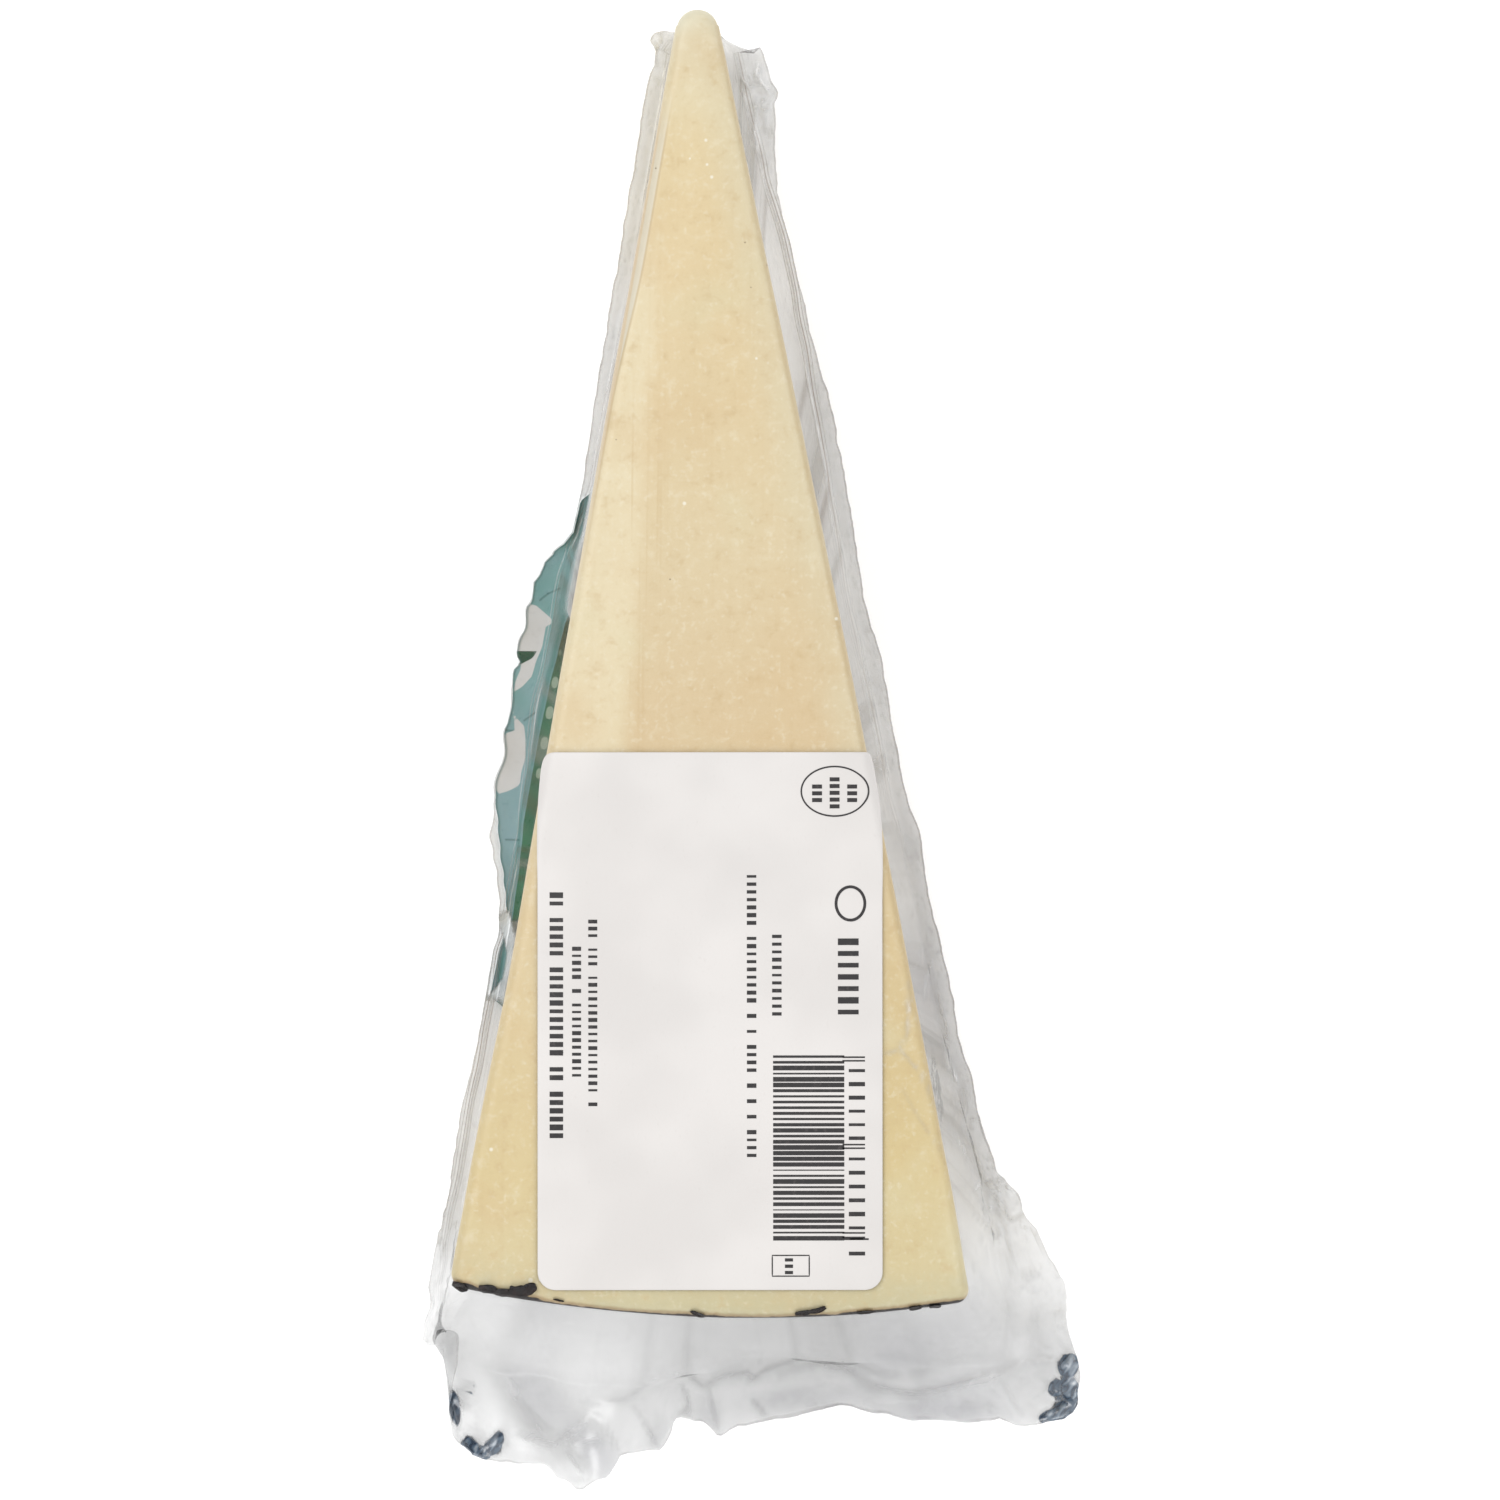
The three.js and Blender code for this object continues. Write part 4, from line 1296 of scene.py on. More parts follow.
@dataclass(frozen=True)
class CheeseFinish:
    """Hard, pale cheese with a dark rind on the wheel's rim. A spot is its X, its Y and its radius."""

    roughness: float = 0.46
    cell_size: float = 7.5
    body_from: float = 75.0
    body_length: float = 150.0
    body_colors: tuple[tuple[float, Color], ...] = (
        (0.01, paint(205, 197, 160)), (0.05, paint(222, 206, 160)), (0.12, paint(224, 203, 149)),
        (0.20, paint(222, 199, 146)), (0.34, paint(223, 199, 152)), (0.45, paint(225, 201, 159)),
        (0.58, paint(229, 210, 170)), (0.78, paint(231, 209, 164)), (0.885, paint(232, 212, 168)),
        (0.94, paint(235, 223, 188)), (0.985, paint(238, 233, 208)),
    )
    specks: tuple[tuple[float, float, float], ...] = (
        (0.8, 58.3, 0.24), (0.9, 55.6, 0.20), (1.4, 54.2, 0.26), (-1.0, 56.3, 0.16), (-2.1, 18.0, 0.28),
        (14.6, 5.0, 0.26), (6.1, 34.0, 0.2),
    )
    pinholes: tuple[tuple[float, float, float], ...] = (
        (-4.8, 55.3, 0.13), (5.0, 46.9, 0.12), (7.4, 44.4, 0.11), (5.6, 41.9, 0.10), (-3.8, 9.6, 0.12),
        (-9.6, 25.2, 0.1),
    )

    def material(self, shape: WedgeShape) -> Material:
        """Makes the material.

        Args:
            shape: The wedge's sizes.

        Returns:
            The material.
        """
        shader = Shader("sheep_cheese")
        x, y, z = shader.axes()
        crust = shader.attribute("crust")
        on_back = shader.rise(z, shape.back - 4.0, shape.back - 1.2)
        down = shape.apex_y - shape.squared(x, y)
        away = (x * x + down * down).root()
        from_rind = shape.wheel_radius - away
        half = (shape.apex_y - y) * math.tan(shape.half_angle)
        from_left, from_right = half + x, half - x

        position = (y + self.body_from) / self.body_length
        body = shader.node("ShaderNodeValToRGB", {0: position}, stops=self.body_colors)
        clouds = shader.noise(15.0, 2.0, 0.6, seed=1.0)
        stray = (clouds - 0.5) * 1.1
        # painted light: the left bevel faces the key lamp and is painted as a paler band
        left = shader.rise(x - (y * 0.084 - 8.35) + stray, 1.3, -1.3) * shader.rise(y, 58.0, 40.0) * on_back
        color = shader.mix(body, paint(237, 222, 185), left * shader.rise(y, -60.0, 5.0, (0.15, 0.85)))
        # painted shading: the right bevel is painted as a paler, greyer band
        right = shader.rise(from_right + stray, 5.5, 0.5) * on_back
        color = shader.mix(color, paint(226, 215, 182), right * shader.rise(y, -30.0, 0.0, (0.05, 0.6)))

        color = shader.mix(color, paint(221, 190, 140), shader.rise(clouds, 0.48, 0.78) * 0.45)
        color = shader.mix(color, paint(229, 220, 182), shader.rise(clouds, 0.44, 0.20) * 0.5)
        mottle = shader.noise(2.2, 3.0, 0.66, seed=11.0)
        color = shader.mix(color, paint(243, 232, 202), shader.rise(mottle, 0.54, 0.78) * 0.44)
        color = shader.mix(color, paint(209, 180, 130), shader.rise(mottle, 0.47, 0.24) * 0.40)
        grain = shader.noise(0.7, 2.0, 0.7, seed=13.0)
        color = shader.mix(color, paint(248, 240, 214), shader.rise(grain, 0.54, 0.74) * 0.30)
        color = shader.mix(color, paint(206, 180, 134), shader.rise(grain, 0.44, 0.24) * 0.18)

        wires = shader.noise(1.0, 2.0, 0.6, at=shader.stretched((1.1, 0.018, 0.4), 1.5), seed=17.0)
        cut = shader.bell(x - (y * 0.05 - 8.5), 0.0, 4.5) * shader.bell(y, 8.0, 26.0) * on_back
        wired = shader.rise(wires, 0.54, 0.72) * (cut * 0.6 + 0.07).clamped()
        color = shader.mix(color, paint(205, 172, 118), wired)
        drag = shader.noise(1.0, 2.0, 0.6, at=shader.stretched((0.05, 0.05, 0.9)), seed=19.0)
        sides = 1.0 - on_back
        color = shader.mix(color, paint(213, 188, 138), shader.rise(drag, 0.5, 0.75) * sides * 0.35)
        # painted shade: darker along the right edge, where the cheese rounds away from the light
        color = shader.mix(color, paint(204, 178, 130), shader.rise(from_right, 0.55, 0.1) * 0.40)
        # the cut's first millimetre on the left: a pale facet between two darker edges, painted as light on
        # the facet and shade on its edges
        facet = from_left - shader.rise(y, 28.0, 46.0, (0.12, 0.95))
        upper = on_back * shader.rise(y, 65.0, 56.0) * shader.rise(y, 5.0, 35.0)
        color = shader.mix(color, paint(226, 219, 200), shader.rise(facet, 0.06, -0.10) * upper * 0.8)
        color = shader.mix(color, paint(198, 176, 138), shader.bell(facet, 0.06, 0.22) * upper * 0.65)
        color = shader.mix(color, paint(222, 192, 148), shader.rise(from_left, 0.30, 0.12) * upper * 0.6)

        marked = shader.node("ShaderNodeTexVoronoi", {0: shader.place, "Scale": 1.0 / self.cell_size})
        speck = shader.rise(marked, 0.044, 0.022) * shader.rise(clouds, 0.47, 0.51)
        hole = shader.rise(marked, 0.020, 0.012) * shader.rise(clouds, 0.47, 0.44)
        for px, py, radius in self.specks:
            speck = speck.most(self._spot(shader, x, y, px, py, radius))
        for px, py, radius in self.pinholes:
            hole = hole.most(self._spot(shader, x, y, px, py, radius))
        color = shader.mix(color, paint(253, 248, 230), speck * 0.8)
        color = shader.mix(color, paint(92, 70, 52), hole * 0.7)

        under = shader.rise(from_rind, 6.0, 0.6)
        color = shader.mix(color, paint(204, 196, 158), under * shader.rise(mottle, 0.30, 0.70) * 0.6)
        ragged = (shader.noise(0.9, 3.0, 0.65, seed=29.0) - 0.5) * 0.35
        depth = from_rind - crust + ragged
        bark = shader.rise(depth, 0.10, -0.06)
        color = shader.mix(color, paint(150, 112, 66), shader.rise(depth, 0.55, 0.10) * 0.6)
        color = shader.mix(color, self._bark_color(shader), bark)

        normal = shader.bump(grain * 0.4 + mottle * 0.7, 0.10, 0.7)
        rough = (self.roughness + (mottle - 0.5) * 0.2 + bark * 0.15).clamped()
        return shader.surface(Base_Color=color, Roughness=rough, IOR=1.4, Normal=normal)

    @staticmethod
    def _spot(shader: Shader, x: Wire, y: Wire, px: float, py: float, radius: float) -> Wire:
        """A small round spot on the back."""
        gap = ((x - px) * (x - px) + (y - py) * (y - py)).root()
        return shader.rise(gap, radius, radius * 0.4)

    @staticmethod
    def _bark_color(shader: Shader) -> Wire:
        """The rind's own colour: black-brown, worn paler on its ridges."""
        clouds = shader.noise(5.0, 2.0, 0.6, seed=41.0)
        ridges = shader.noise(1.1, 3.0, 0.65, at=shader.stretched((1.0, 1.0, 0.45)), seed=43.0)
        dark = shader.mix(paint(22, 15, 14), paint(52, 36, 30), shader.rise(clouds, 0.35, 0.75))
        return shader.mix(dark, paint(96, 72, 52), shader.rise(ridges, 0.60, 0.82) * 0.5)


@dataclass
class Cheese:
    """The wedge of cheese inside the film. A wave of its surface is its depth, its size and its pattern."""

    shape: WedgeShape
    outline: Outline
    finish: CheeseFinish = field(default_factory=CheeseFinish)
    gap: float = 0.13
    foot_round: float = 1.0
    back_rings: int = 40
    edge_rings: int = 7
    wall_rings: int = 30
    foot_rings: int = 5
    waves: tuple[tuple[float, float, float], ...] = ((0.07, 11.0, 1.3), (0.03, 2.4, 6.3))
    crust_keys: Keys = (
        (-29, 0.6), (-27.5, 0.75), (-26, 0.5), (-24, 0.7), (-20, 0.6), (-18.5, 0.34), (-10, 0.34), (-6, 0.4),
        (-3, 0.5), (0, 0.45), (2, 0.34), (6.5, 0.3), (9, 0.4), (11, 0.5), (13.5, 0.34), (15, 0.55),
        (20, 0.5), (25, 0.58), (29, 0.5),
    )

    def build(self) -> Piece:
        """Makes the cheese, a little under the film, with slow waves and the lumps of its rind.

        Returns:
            The piece.
        """
        shape, outline = self.shape, self.outline
        edge = outline.wedge - outline.normal * self.gap
        shares = np.linspace(0.04, 1.0, self.back_rings, endpoint=False) ** 0.8
        rings = outline.back_rings(self.gap, shares, self.edge_rings)
        top, bottom, foot = rings[-1][:, 2], shape.underside + self.gap, self.foot_round
        for share in np.linspace(0.0, 1.0, self.wall_rings)[1:]:
            rings.append(np.column_stack([edge, top * (1.0 - share) + (bottom + foot) * share]))
        for turn in np.linspace(0.0, math.pi / 2, self.foot_rings)[1:]:
            xy = edge + outline.normal * foot * (math.cos(turn) - 1.0)
            rings.append(np.column_stack([xy, np.full(len(edge), bottom + foot * (1.0 - math.sin(turn)))]))
        whole = np.array(rings)
        sunk = sum(depth * (0.5 + 0.5 * soft_noise(whole, size, seed)) for depth, size, seed in self.waves)
        whole = whole - sunk[..., None] * outward(whole)
        data = closed_rings(whole, (*MIDDLE, shape.back - self.gap), (*MIDDLE, bottom))
        x, y = data.points[:, 0], data.points[:, 1]
        place = shape.wheel_radius * x / np.maximum(shape.from_apex(x, y), 1.0)
        return data.piece("cheese", self.finish.material(shape), crust=profile(self.crust_keys, place))


@dataclass(frozen=True)
class Flake:
    """A curled flake of rind: where it lies, its turn, its length and width, and how far it curls."""

    x: float
    y: float
    turn: float
    length: float
    width: float
    curl: float
    seed: float


@dataclass(frozen=True)
class RindFinish:
    """Black-brown rind, with a little shine from the film."""

    roughness: float = 0.42

    def material(self) -> Material:
        """Makes the material.

        Returns:
            The material.
        """
        shader = Shader("dark_rind")
        clouds = shader.noise(0.9, 4.0, 0.65, seed=3.0)
        dark = shader.mix(paint(16, 11, 12), paint(44, 30, 26), shader.rise(clouds, 0.40, 0.75))
        worn = shader.rise(shader.noise(0.5, 3.0, seed=8.0), 0.66, 0.82)
        color = shader.mix(dark, paint(120, 94, 66), worn * 0.5)
        normal = shader.bump(clouds, 0.12, 0.8)
        rough = (self.roughness + (clouds - 0.5) * 0.3).clamped()
        return shader.surface(Base_Color=color, Roughness=rough, Specular_IOR_Level=0.18, Normal=normal)


@dataclass
class RindFlakes:
    """Flakes of rind, curled up over the edge of the cheese under the film."""

    shape: WedgeShape
    finish: RindFinish = field(default_factory=RindFinish)
    thickness: float = 0.16
    lift: float = 0.02
    cheese_gap: float = 0.13
    flakes: tuple[Flake, ...] = (
        Flake(-28.2, -68.75, -28.0, 1.9, 0.75, 0.22, 1.0), Flake(-25.1, -68.95, -8.0, 2.0, 0.95, 0.34, 2.0),
        Flake(-23.5, -69.35, 14.0, 1.7, 0.9, 0.30, 3.0), Flake(-21.7, -69.2, -12.0, 2.0, 1.15, 0.36, 4.0),
        Flake(-20.5, -69.0, 18.0, 1.8, 1.2, 0.34, 5.0), Flake(-1.8, -72.05, -24.0, 1.7, 0.5, 0.20, 6.0),
        Flake(9.9, -72.05, 8.0, 1.8, 0.55, 0.22, 7.0), Flake(11.5, -71.75, 16.0, 2.0, 0.6, 0.26, 8.0),
        Flake(16.8, -72.1, 4.0, 1.8, 0.4, 0.10, 9.0), Flake(22.4, -71.75, 6.0, 1.4, 0.45, 0.14, 10.0),
        Flake(24.6, -71.6, 4.0, 1.3, 0.4, 0.12, 11.0), Flake(-17.2, -70.3, -12.0, 1.2, 0.22, 0.05, 12.0),
    )

    def build(self) -> Piece:
        """Makes all the flakes as one piece."""
        chips = joined([self._chip(flake) for flake in self.flakes])
        return chips.piece("rind_flakes", self.finish.material())

    def _chip(self, flake: Flake) -> MeshData:
        """One flake.

        Args:
            flake: Its place and size.

        Returns:
            Its mesh.
        """
        u, v = np.meshgrid(np.linspace(-1, 1, 15), np.linspace(-1, 1, 9))
        flat = np.stack([u, v, np.full(u.shape, flake.seed * 3.1)], axis=-1)
        ragged = 1.0 + 0.55 * soft_noise(flat, 0.9, flake.seed)
        lump = soft_noise(flat, 0.6, flake.seed + 5.0)
        round_off = np.sqrt(np.clip(1.0 - 0.75 * np.abs(u) ** 3, 0.0, 1.0))
        x = u * flake.length / 2 * (1.0 + 0.12 * lump)
        y = v * flake.width / 2 * ragged * round_off
        rise = flake.curl * (0.35 + 0.65 * v**2) * (1.0 - 0.5 * u**2) + 0.07 * lump
        angle = math.radians(flake.turn)
        px = flake.x + x * math.cos(angle) - y * math.sin(angle)
        py = flake.y + x * math.sin(angle) + y * math.cos(angle)
        shape, edge = self.shape, self.shape.edge_round
        over = np.maximum(shape.from_apex(px, py) - (shape.wheel_radius - edge), 0.0)
        sunk = edge - np.sqrt(np.maximum(edge**2 - over**2, 0.05))
        base = shape.back - shape.back_drop(px, py) - self.cheese_gap - sunk + self.lift
        upper = np.stack([px, py, base + rise + self.thickness], axis=-1)
        return closed_sheet(upper, np.stack([px, py, base + rise * 0.75], axis=-1))


# ---------------------------------------------------------------------------------------------------
# The white label


@dataclass(frozen=True)
class PaperFinish:
    """Smooth white label paper."""

    roughness: float = 0.5

    def material(self) -> Material:
        """Makes the material.

        Returns:
            The material.
        """
        shader = Shader("white_paper")
        fibres = shader.noise(0.35, 4.0, 0.6, at=shader.stretched((1.0, 0.45, 1.0)))
        clouds = shader.noise(14.0, 2.0, seed=2.0)
        color = shader.mix(paint(228, 224, 221), paint(237, 233, 230), shader.rise(clouds, 0.3, 0.7))
        color = shader.mix(color, paint(214, 209, 205), shader.rise(fibres, 0.58, 0.85) * 0.35)
        normal = shader.bump(fibres + clouds * 3.0, 0.03, 0.5)
        rough = (self.roughness + (fibres - 0.5) * 0.15).clamped()
        return shader.surface(Base_Color=color, Roughness=rough, Normal=normal)


@dataclass(frozen=True)
class InkFinish:
    """Thermal print: a dark grey with a slightly uneven coverage."""

    roughness: float = 0.5

    def material(self) -> Material:
        """Makes the material.

        Returns:
            The material.
        """
        shader = Shader("thermal_print")
        cover = shader.noise(0.5, 3.0, 0.6)
        color = shader.mix(paint(26, 22, 24), paint(70, 64, 64), shader.rise(cover, 0.52, 0.80))
        normal = shader.bump(cover, 0.01, 0.4)
        return shader.surface(Base_Color=color, Roughness=self.roughness, Normal=normal)


@dataclass(frozen=True)
class BarRow:
    """A row of generic print blocks: its place across the label, its span along it, and its blocks."""

    across: float
    depth: float
    start: float
    end: float
    pitch: float
    widths: tuple[float, float]
    gaps: float
    seed: int


PRINT_ROWS = (
    BarRow(-17.8, 1.5, -12.7, 14.8, 0.92, (0.40, 0.66), 0.10, 4),
    BarRow(-15.3, 1.0, -6.0, 8.1, 0.78, (0.22, 0.46), 0.14, 7),
    BarRow(-13.5, 1.0, -10.0, 11.5, 0.78, (0.22, 0.46), 0.14, 11),
    BarRow(4.1, 1.05, -14.9, 16.8, 0.86, (0.26, 0.50), 0.12, 15),
    BarRow(6.9, 1.05, 0.8, 9.5, 0.86, (0.26, 0.50), 0.10, 18),
    BarRow(14.2, 2.3, 1.0, 9.0, 1.30, (0.34, 0.80), 0.0, 21),
    BarRow(7.0, 7.9, -24.1, -3.9, 0.63, (0.12, 0.56), 0.0, 25),
    BarRow(15.4, 1.8, -22.95, -15.0, 1.53, (0.30, 0.50), 0.0, 29),
    BarRow(15.4, 1.8, -13.0, -5.2, 1.50, (0.30, 0.50), 0.0, 33),
    BarRow(15.4, 1.8, -25.8, -25.2, 1.5, (0.4, 0.5), 0.0, 35),
    BarRow(8.3, 0.9, -27.9, -26.3, 0.7, (0.3, 0.4), 0.0, 31),
)


class PrintTree:
    """The node tree that sets out a row of blocks along the label."""

    def __init__(self, material: Material) -> None:
        """Makes the tree.

        Args:
            material: The ink.
        """
        self.group = bpy.data.node_groups.new("print_row", "GeometryNodeTree")
        self.sockets: dict[str, str] = {}
        for name in ("Count", "Pitch", "Depth", "Least Width", "Most Width", "Gaps", "Seed"):
            kind = "NodeSocketInt" if name in ("Count", "Seed") else "NodeSocketFloat"
            socket = self.group.interface.new_socket(name, in_out="INPUT", socket_type=kind)
            self.sockets[name] = socket.identifier
        self.group.interface.new_socket("Geometry", in_out="OUTPUT", socket_type="NodeSocketGeometry")
        maker = NodeMaker(self.group)
        given = maker.node("NodeGroupInput").socket.node.outputs
        count, pitch, depth, least, most, gaps, seed = (Wire(maker, given[name]) for name in self.sockets)
        step = maker.node("ShaderNodeCombineXYZ", {1: pitch})
        line = maker.node("GeometryNodeMeshLine", {"Count": count, "Offset": step}, mode="OFFSET")
        chance = {"Probability": gaps, "Seed": seed}
        skipped = maker.node("FunctionNodeRandomValue", chance, output=3, data_type="BOOLEAN")
        kept = maker.node("GeometryNodeDeleteGeometry", {0: line, 1: skipped}, domain="POINT")
        grid = {"Size X": 1.0, "Size Y": 1.0, "Vertices X": 9, "Vertices Y": 2}
        block = maker.node("GeometryNodeMeshGrid", grid)
        widths = {2: least, 3: most, "Seed": seed + 1.0}
        width = maker.node("FunctionNodeRandomValue", widths, output=1, data_type="FLOAT")
        size = maker.node("ShaderNodeCombineXYZ", {0: depth, 1: width, 2: 1.0})
        instances = {"Points": kept, "Instance": block, "Scale": size}
        placed = maker.node("GeometryNodeInstanceOnPoints", instances)
        real = maker.node("GeometryNodeRealizeInstances", {0: placed})
        inked = maker.node("GeometryNodeSetMaterial", {0: real, "Material": material})
        maker.node("NodeGroupOutput", {0: inked})

    def blocks(self, row: BarRow) -> MeshData:
        """The blocks of one row, flat, in the label's own millimetres.

        Args:
            row: The row's sizes.

        Returns:
            The blocks' mesh.
        """
        count = int((row.end - row.start) / row.pitch) + 1
        values = (count, row.pitch, row.depth, *row.widths, row.gaps, row.seed)
        holder = bpy.data.objects.new("print_holder", bpy.data.meshes.new("print_holder"))
        bpy.context.scene.collection.objects.link(holder)
        modifier = holder.modifiers.new("print_row", "NODES")
        modifier.node_group = self.group
        for identifier, value in zip(self.sockets.values(), values):
            modifier[identifier] = value
        depsgraph = bpy.context.evaluated_depsgraph_get()
        mesh = bpy.data.meshes.new_from_object(holder.evaluated_get(depsgraph))
        points = np.array([vertex.co[:] for vertex in mesh.vertices], dtype=float).reshape(-1, 3)
        faces = [tuple(polygon.vertices) for polygon in mesh.polygons]
        bpy.data.objects.remove(holder)
        bpy.data.meshes.remove(mesh)
        points[:, 0] += row.across + row.depth / 2
        points[:, 1] += row.start
        return MeshData(points, faces)


def flat_box(low_x: float, high_x: float, low_y: float, high_y: float) -> MeshData:
    """A flat block between its limits."""
    corners = [(low_x, low_y, 0), (high_x, low_y, 0), (high_x, high_y, 0), (low_x, high_y, 0)]
    return MeshData(np.array(corners, dtype=float), [(0, 1, 2, 3)])


def ribbon(points: np.ndarray, width: float) -> MeshData:
    """A thin line of a given width round a closed outline.

    Args:
        points: The outline.
        width: The line's width.

    Returns:
        The line's mesh.
    """
    step = np.roll(points, -1, axis=0) - np.roll(points, 1, axis=0)
    across = np.stack([step[:, 1], -step[:, 0]], axis=1) / np.hypot(*step.T)[:, None]
    outer, inner = points + across * width / 2, points - across * width / 2
    count = len(points)
    flat = np.column_stack([np.vstack([outer, inner]), np.zeros(2 * count)])
    after = [(i + 1) % count for i in range(count)]
    return MeshData(flat, [(i, j, count + j, count + i) for i, j in enumerate(after)])


@dataclass
class BackLabel:
    """The white label on the back, and its generic print."""

    shape: WedgeShape
    paper: PaperFinish = field(default_factory=PaperFinish)
    ink: InkFinish = field(default_factory=InkFinish)
    width: float = 38.3
    length: float = 59.7
    corner: float = 2.0
    centre: float = -39.5
    turn: float = math.radians(-0.7)
    gap: float = 0.05
    thickness: float = 0.2
    print_lift: float = 0.018
    edge_drops: tuple[float, float] = (0.02, 0.06)

    def laid(self, flat: np.ndarray, lift: float) -> np.ndarray:
        """Points of the label laid over the back, and turned down over its rounded edge.

        Args:
            flat: Places across and along the label.
            lift: The height over the film.

        Returns:
            The points.
        """
        shape, edge = self.shape, self.shape.edge_round
        across, along = flat[..., 0], flat[..., 1]
        x = across * math.cos(self.turn) - along * math.sin(self.turn)
        y = self.centre + across * math.sin(self.turn) + along * math.cos(self.turn)
        radius, angle = shape.apex_y - y, shape.half_angle
        level = radius * math.tan(angle) + (shape.bulge(radius) - edge) / math.cos(angle)
        over = np.maximum(np.abs(x) - level, 0.0)
        bend = np.minimum(over / edge, math.pi / 2)
        bent_x = np.sign(x) * (np.minimum(np.abs(x), level) + (edge + lift) * np.sin(bend))
        bent_z = shape.back - edge + (edge + lift) * np.cos(bend) - (over - bend * edge)
        return np.stack([bent_x, y, bent_z - shape.back_drop(bent_x, y)], axis=-1)

    def outline(self) -> np.ndarray:
        """The label's outline, counter-clockwise.

        Returns:
            Its points, across and along the label.
        """
        half = np.array([self.width / 2 - self.corner, self.length / 2 - self.corner])
        signs = ((1, -1), (1, 1), (-1, 1), (-1, -1))
        points: list[np.ndarray] = []

        def arc(angle: float) -> np.ndarray:
            """From a corner's middle to the outline."""
            return self.corner * np.array([math.cos(angle), math.sin(angle)])

        for n, sign in enumerate(signs):
            turns = np.radians(90.0 * (n - 1) + np.linspace(0.0, 90.0, 10, endpoint=False))
            points += [half * sign + arc(angle) for angle in turns]
            end = arc(math.radians(90.0 * n))
            start, stop = half * sign + end, half * signs[(n + 1) % 4] + end
            steps = 60 if n % 2 == 0 else 48
            points += [start + (stop - start) * k / steps for k in range(steps)]
        return np.array(points)

    def build(self) -> list[Piece]:
        """Makes the label and its print.

        Returns:
            The two pieces.
        """
        outline, middle = self.outline(), np.zeros((1, 2))
        shares = np.concatenate([np.linspace(0.1, 0.9, 9), np.linspace(0.92, 0.99, 6), [0.998]])
        top = self.gap + self.thickness
        near_edge, at_edge = (top - drop for drop in self.edge_drops)
        places = [(share, top) for share in shares[:-1]] + [(shares[-1], near_edge), (1.0, at_edge)]
        places += [(share, self.gap) for share in (1.0, *shares[::-1])]
        rings = np.array([self.laid(outline * share, lift) for share, lift in places])
        sheet = closed_rings(rings, self.laid(middle, top)[0], self.laid(middle, self.gap)[0])
        material = self.ink.material()
        tree = PrintTree(material)
        flat = joined([tree.blocks(row) for row in PRINT_ROWS] + self._outlines())
        ink = MeshData(self.laid(flat.points, top + self.print_lift), flat.faces)
        return [sheet.piece("label_sheet", self.paper.material()), ink.piece("label_print", material)]

    @staticmethod
    def _outlines() -> list[MeshData]:
        """The ring, the oval and the box, and the small blocks in the oval and round the bars.

        Returns:
            Their meshes.
        """
        turns = np.linspace(0.0, 2 * math.pi, 64, endpoint=False)
        circle = np.stack([np.cos(turns), np.sin(turns)], axis=1)
        corners = np.array([(11.0, -28.3), (11.0, -26.0), (6.9, -26.0), (6.9, -28.3)])
        pairs = zip(corners, np.roll(corners, -1, axis=0))
        box = np.array([start + (end - start) * k / 8 for start, end in pairs for k in range(8)])
        oval, ring = circle * (3.7, 2.75) + (13.85, 25.5), circle * (1.6, 1.85) + (15.6, 13.05)
        shapes = [ribbon(oval, 0.18), ribbon(ring, 0.32), ribbon(box, 0.14)]
        for across, low, high in ((11.9, 24.3, 26.9), (13.85, 23.6, 27.4), (15.8, 24.3, 26.9)):
            starts = np.arange(low, high - 0.5, 0.75)
            shapes += [flat_box(across - 0.55, across + 0.55, start, start + 0.45) for start in starts]
        shapes += [flat_box(across + 7.9, across + 10.0, -24.3, -24.1) for across in (7.0, 7.6)]
        starts = (-24.1, -23.6, -14.2, -13.8, -4.5, -4.1)
        return shapes + [flat_box(14.7, 17.2, start, start + 0.18) for start in starts]


# ---------------------------------------------------------------------------------------------------
# The green label


# the whitish shapes and the dark lens on the label, by along and reach
WHITE_FIELDS: tuple[Path, ...] = (
    (
        (67.1, 7.2), (67.2, 5.4), (67.8, 4.4), (68.4, 3.4), (69, 3.3), (69.4, 3.9), (70.5, 3.9),
        (71.8, 3.9), (73.5, 4.3), (75.4, 4.5), (76.8, 5.4), (77.6, 6.3), (76.3, 6.3), (74.6, 5.9),
        (74, 6.2), (73.4, 7.6), (69.8, 7.6),
    ),
    (
        (79.4, 6.2), (80.4, 5.5), (81.2, 4.4), (82.6, 4), (84.9, 3.6), (86.5, 3.8), (88.1, 3.7),
        (89, 4.9), (89.5, 5.9), (88.5, 7.2), (83.7, 7.2), (82.4, 6.3), (81.9, 5.4), (80.7, 5.7),
    ),
)
LENS_FIELD: Path = ((72.9, 7.4), (72.4, 4.4), (73.3, 4.8), (74.3, 6.1), (73.8, 7.4))
# where the deep green begins, by along
DEEP_REACH: Keys = (
    (64, 1), (67.2, 1.5), (69, 1.8), (72, 2), (76, 2.3), (82.6, 2.5), (92, 2.55), (95, 2.3), (99, 2.05),
    (105, 1.85),
)
# painted shade in the creases of the teal, as the two ends by along and reach
CREASE_SHADES = (
    (64.8, 3.1, 65.6, 4.3), (65.6, 4.3, 66.5, 5.1), (79.5, 3.4, 80.6, 4.5), (82, 5.5, 82.1, 6.6),
    (94.4, 2.8, 94.6, 4.2),
)


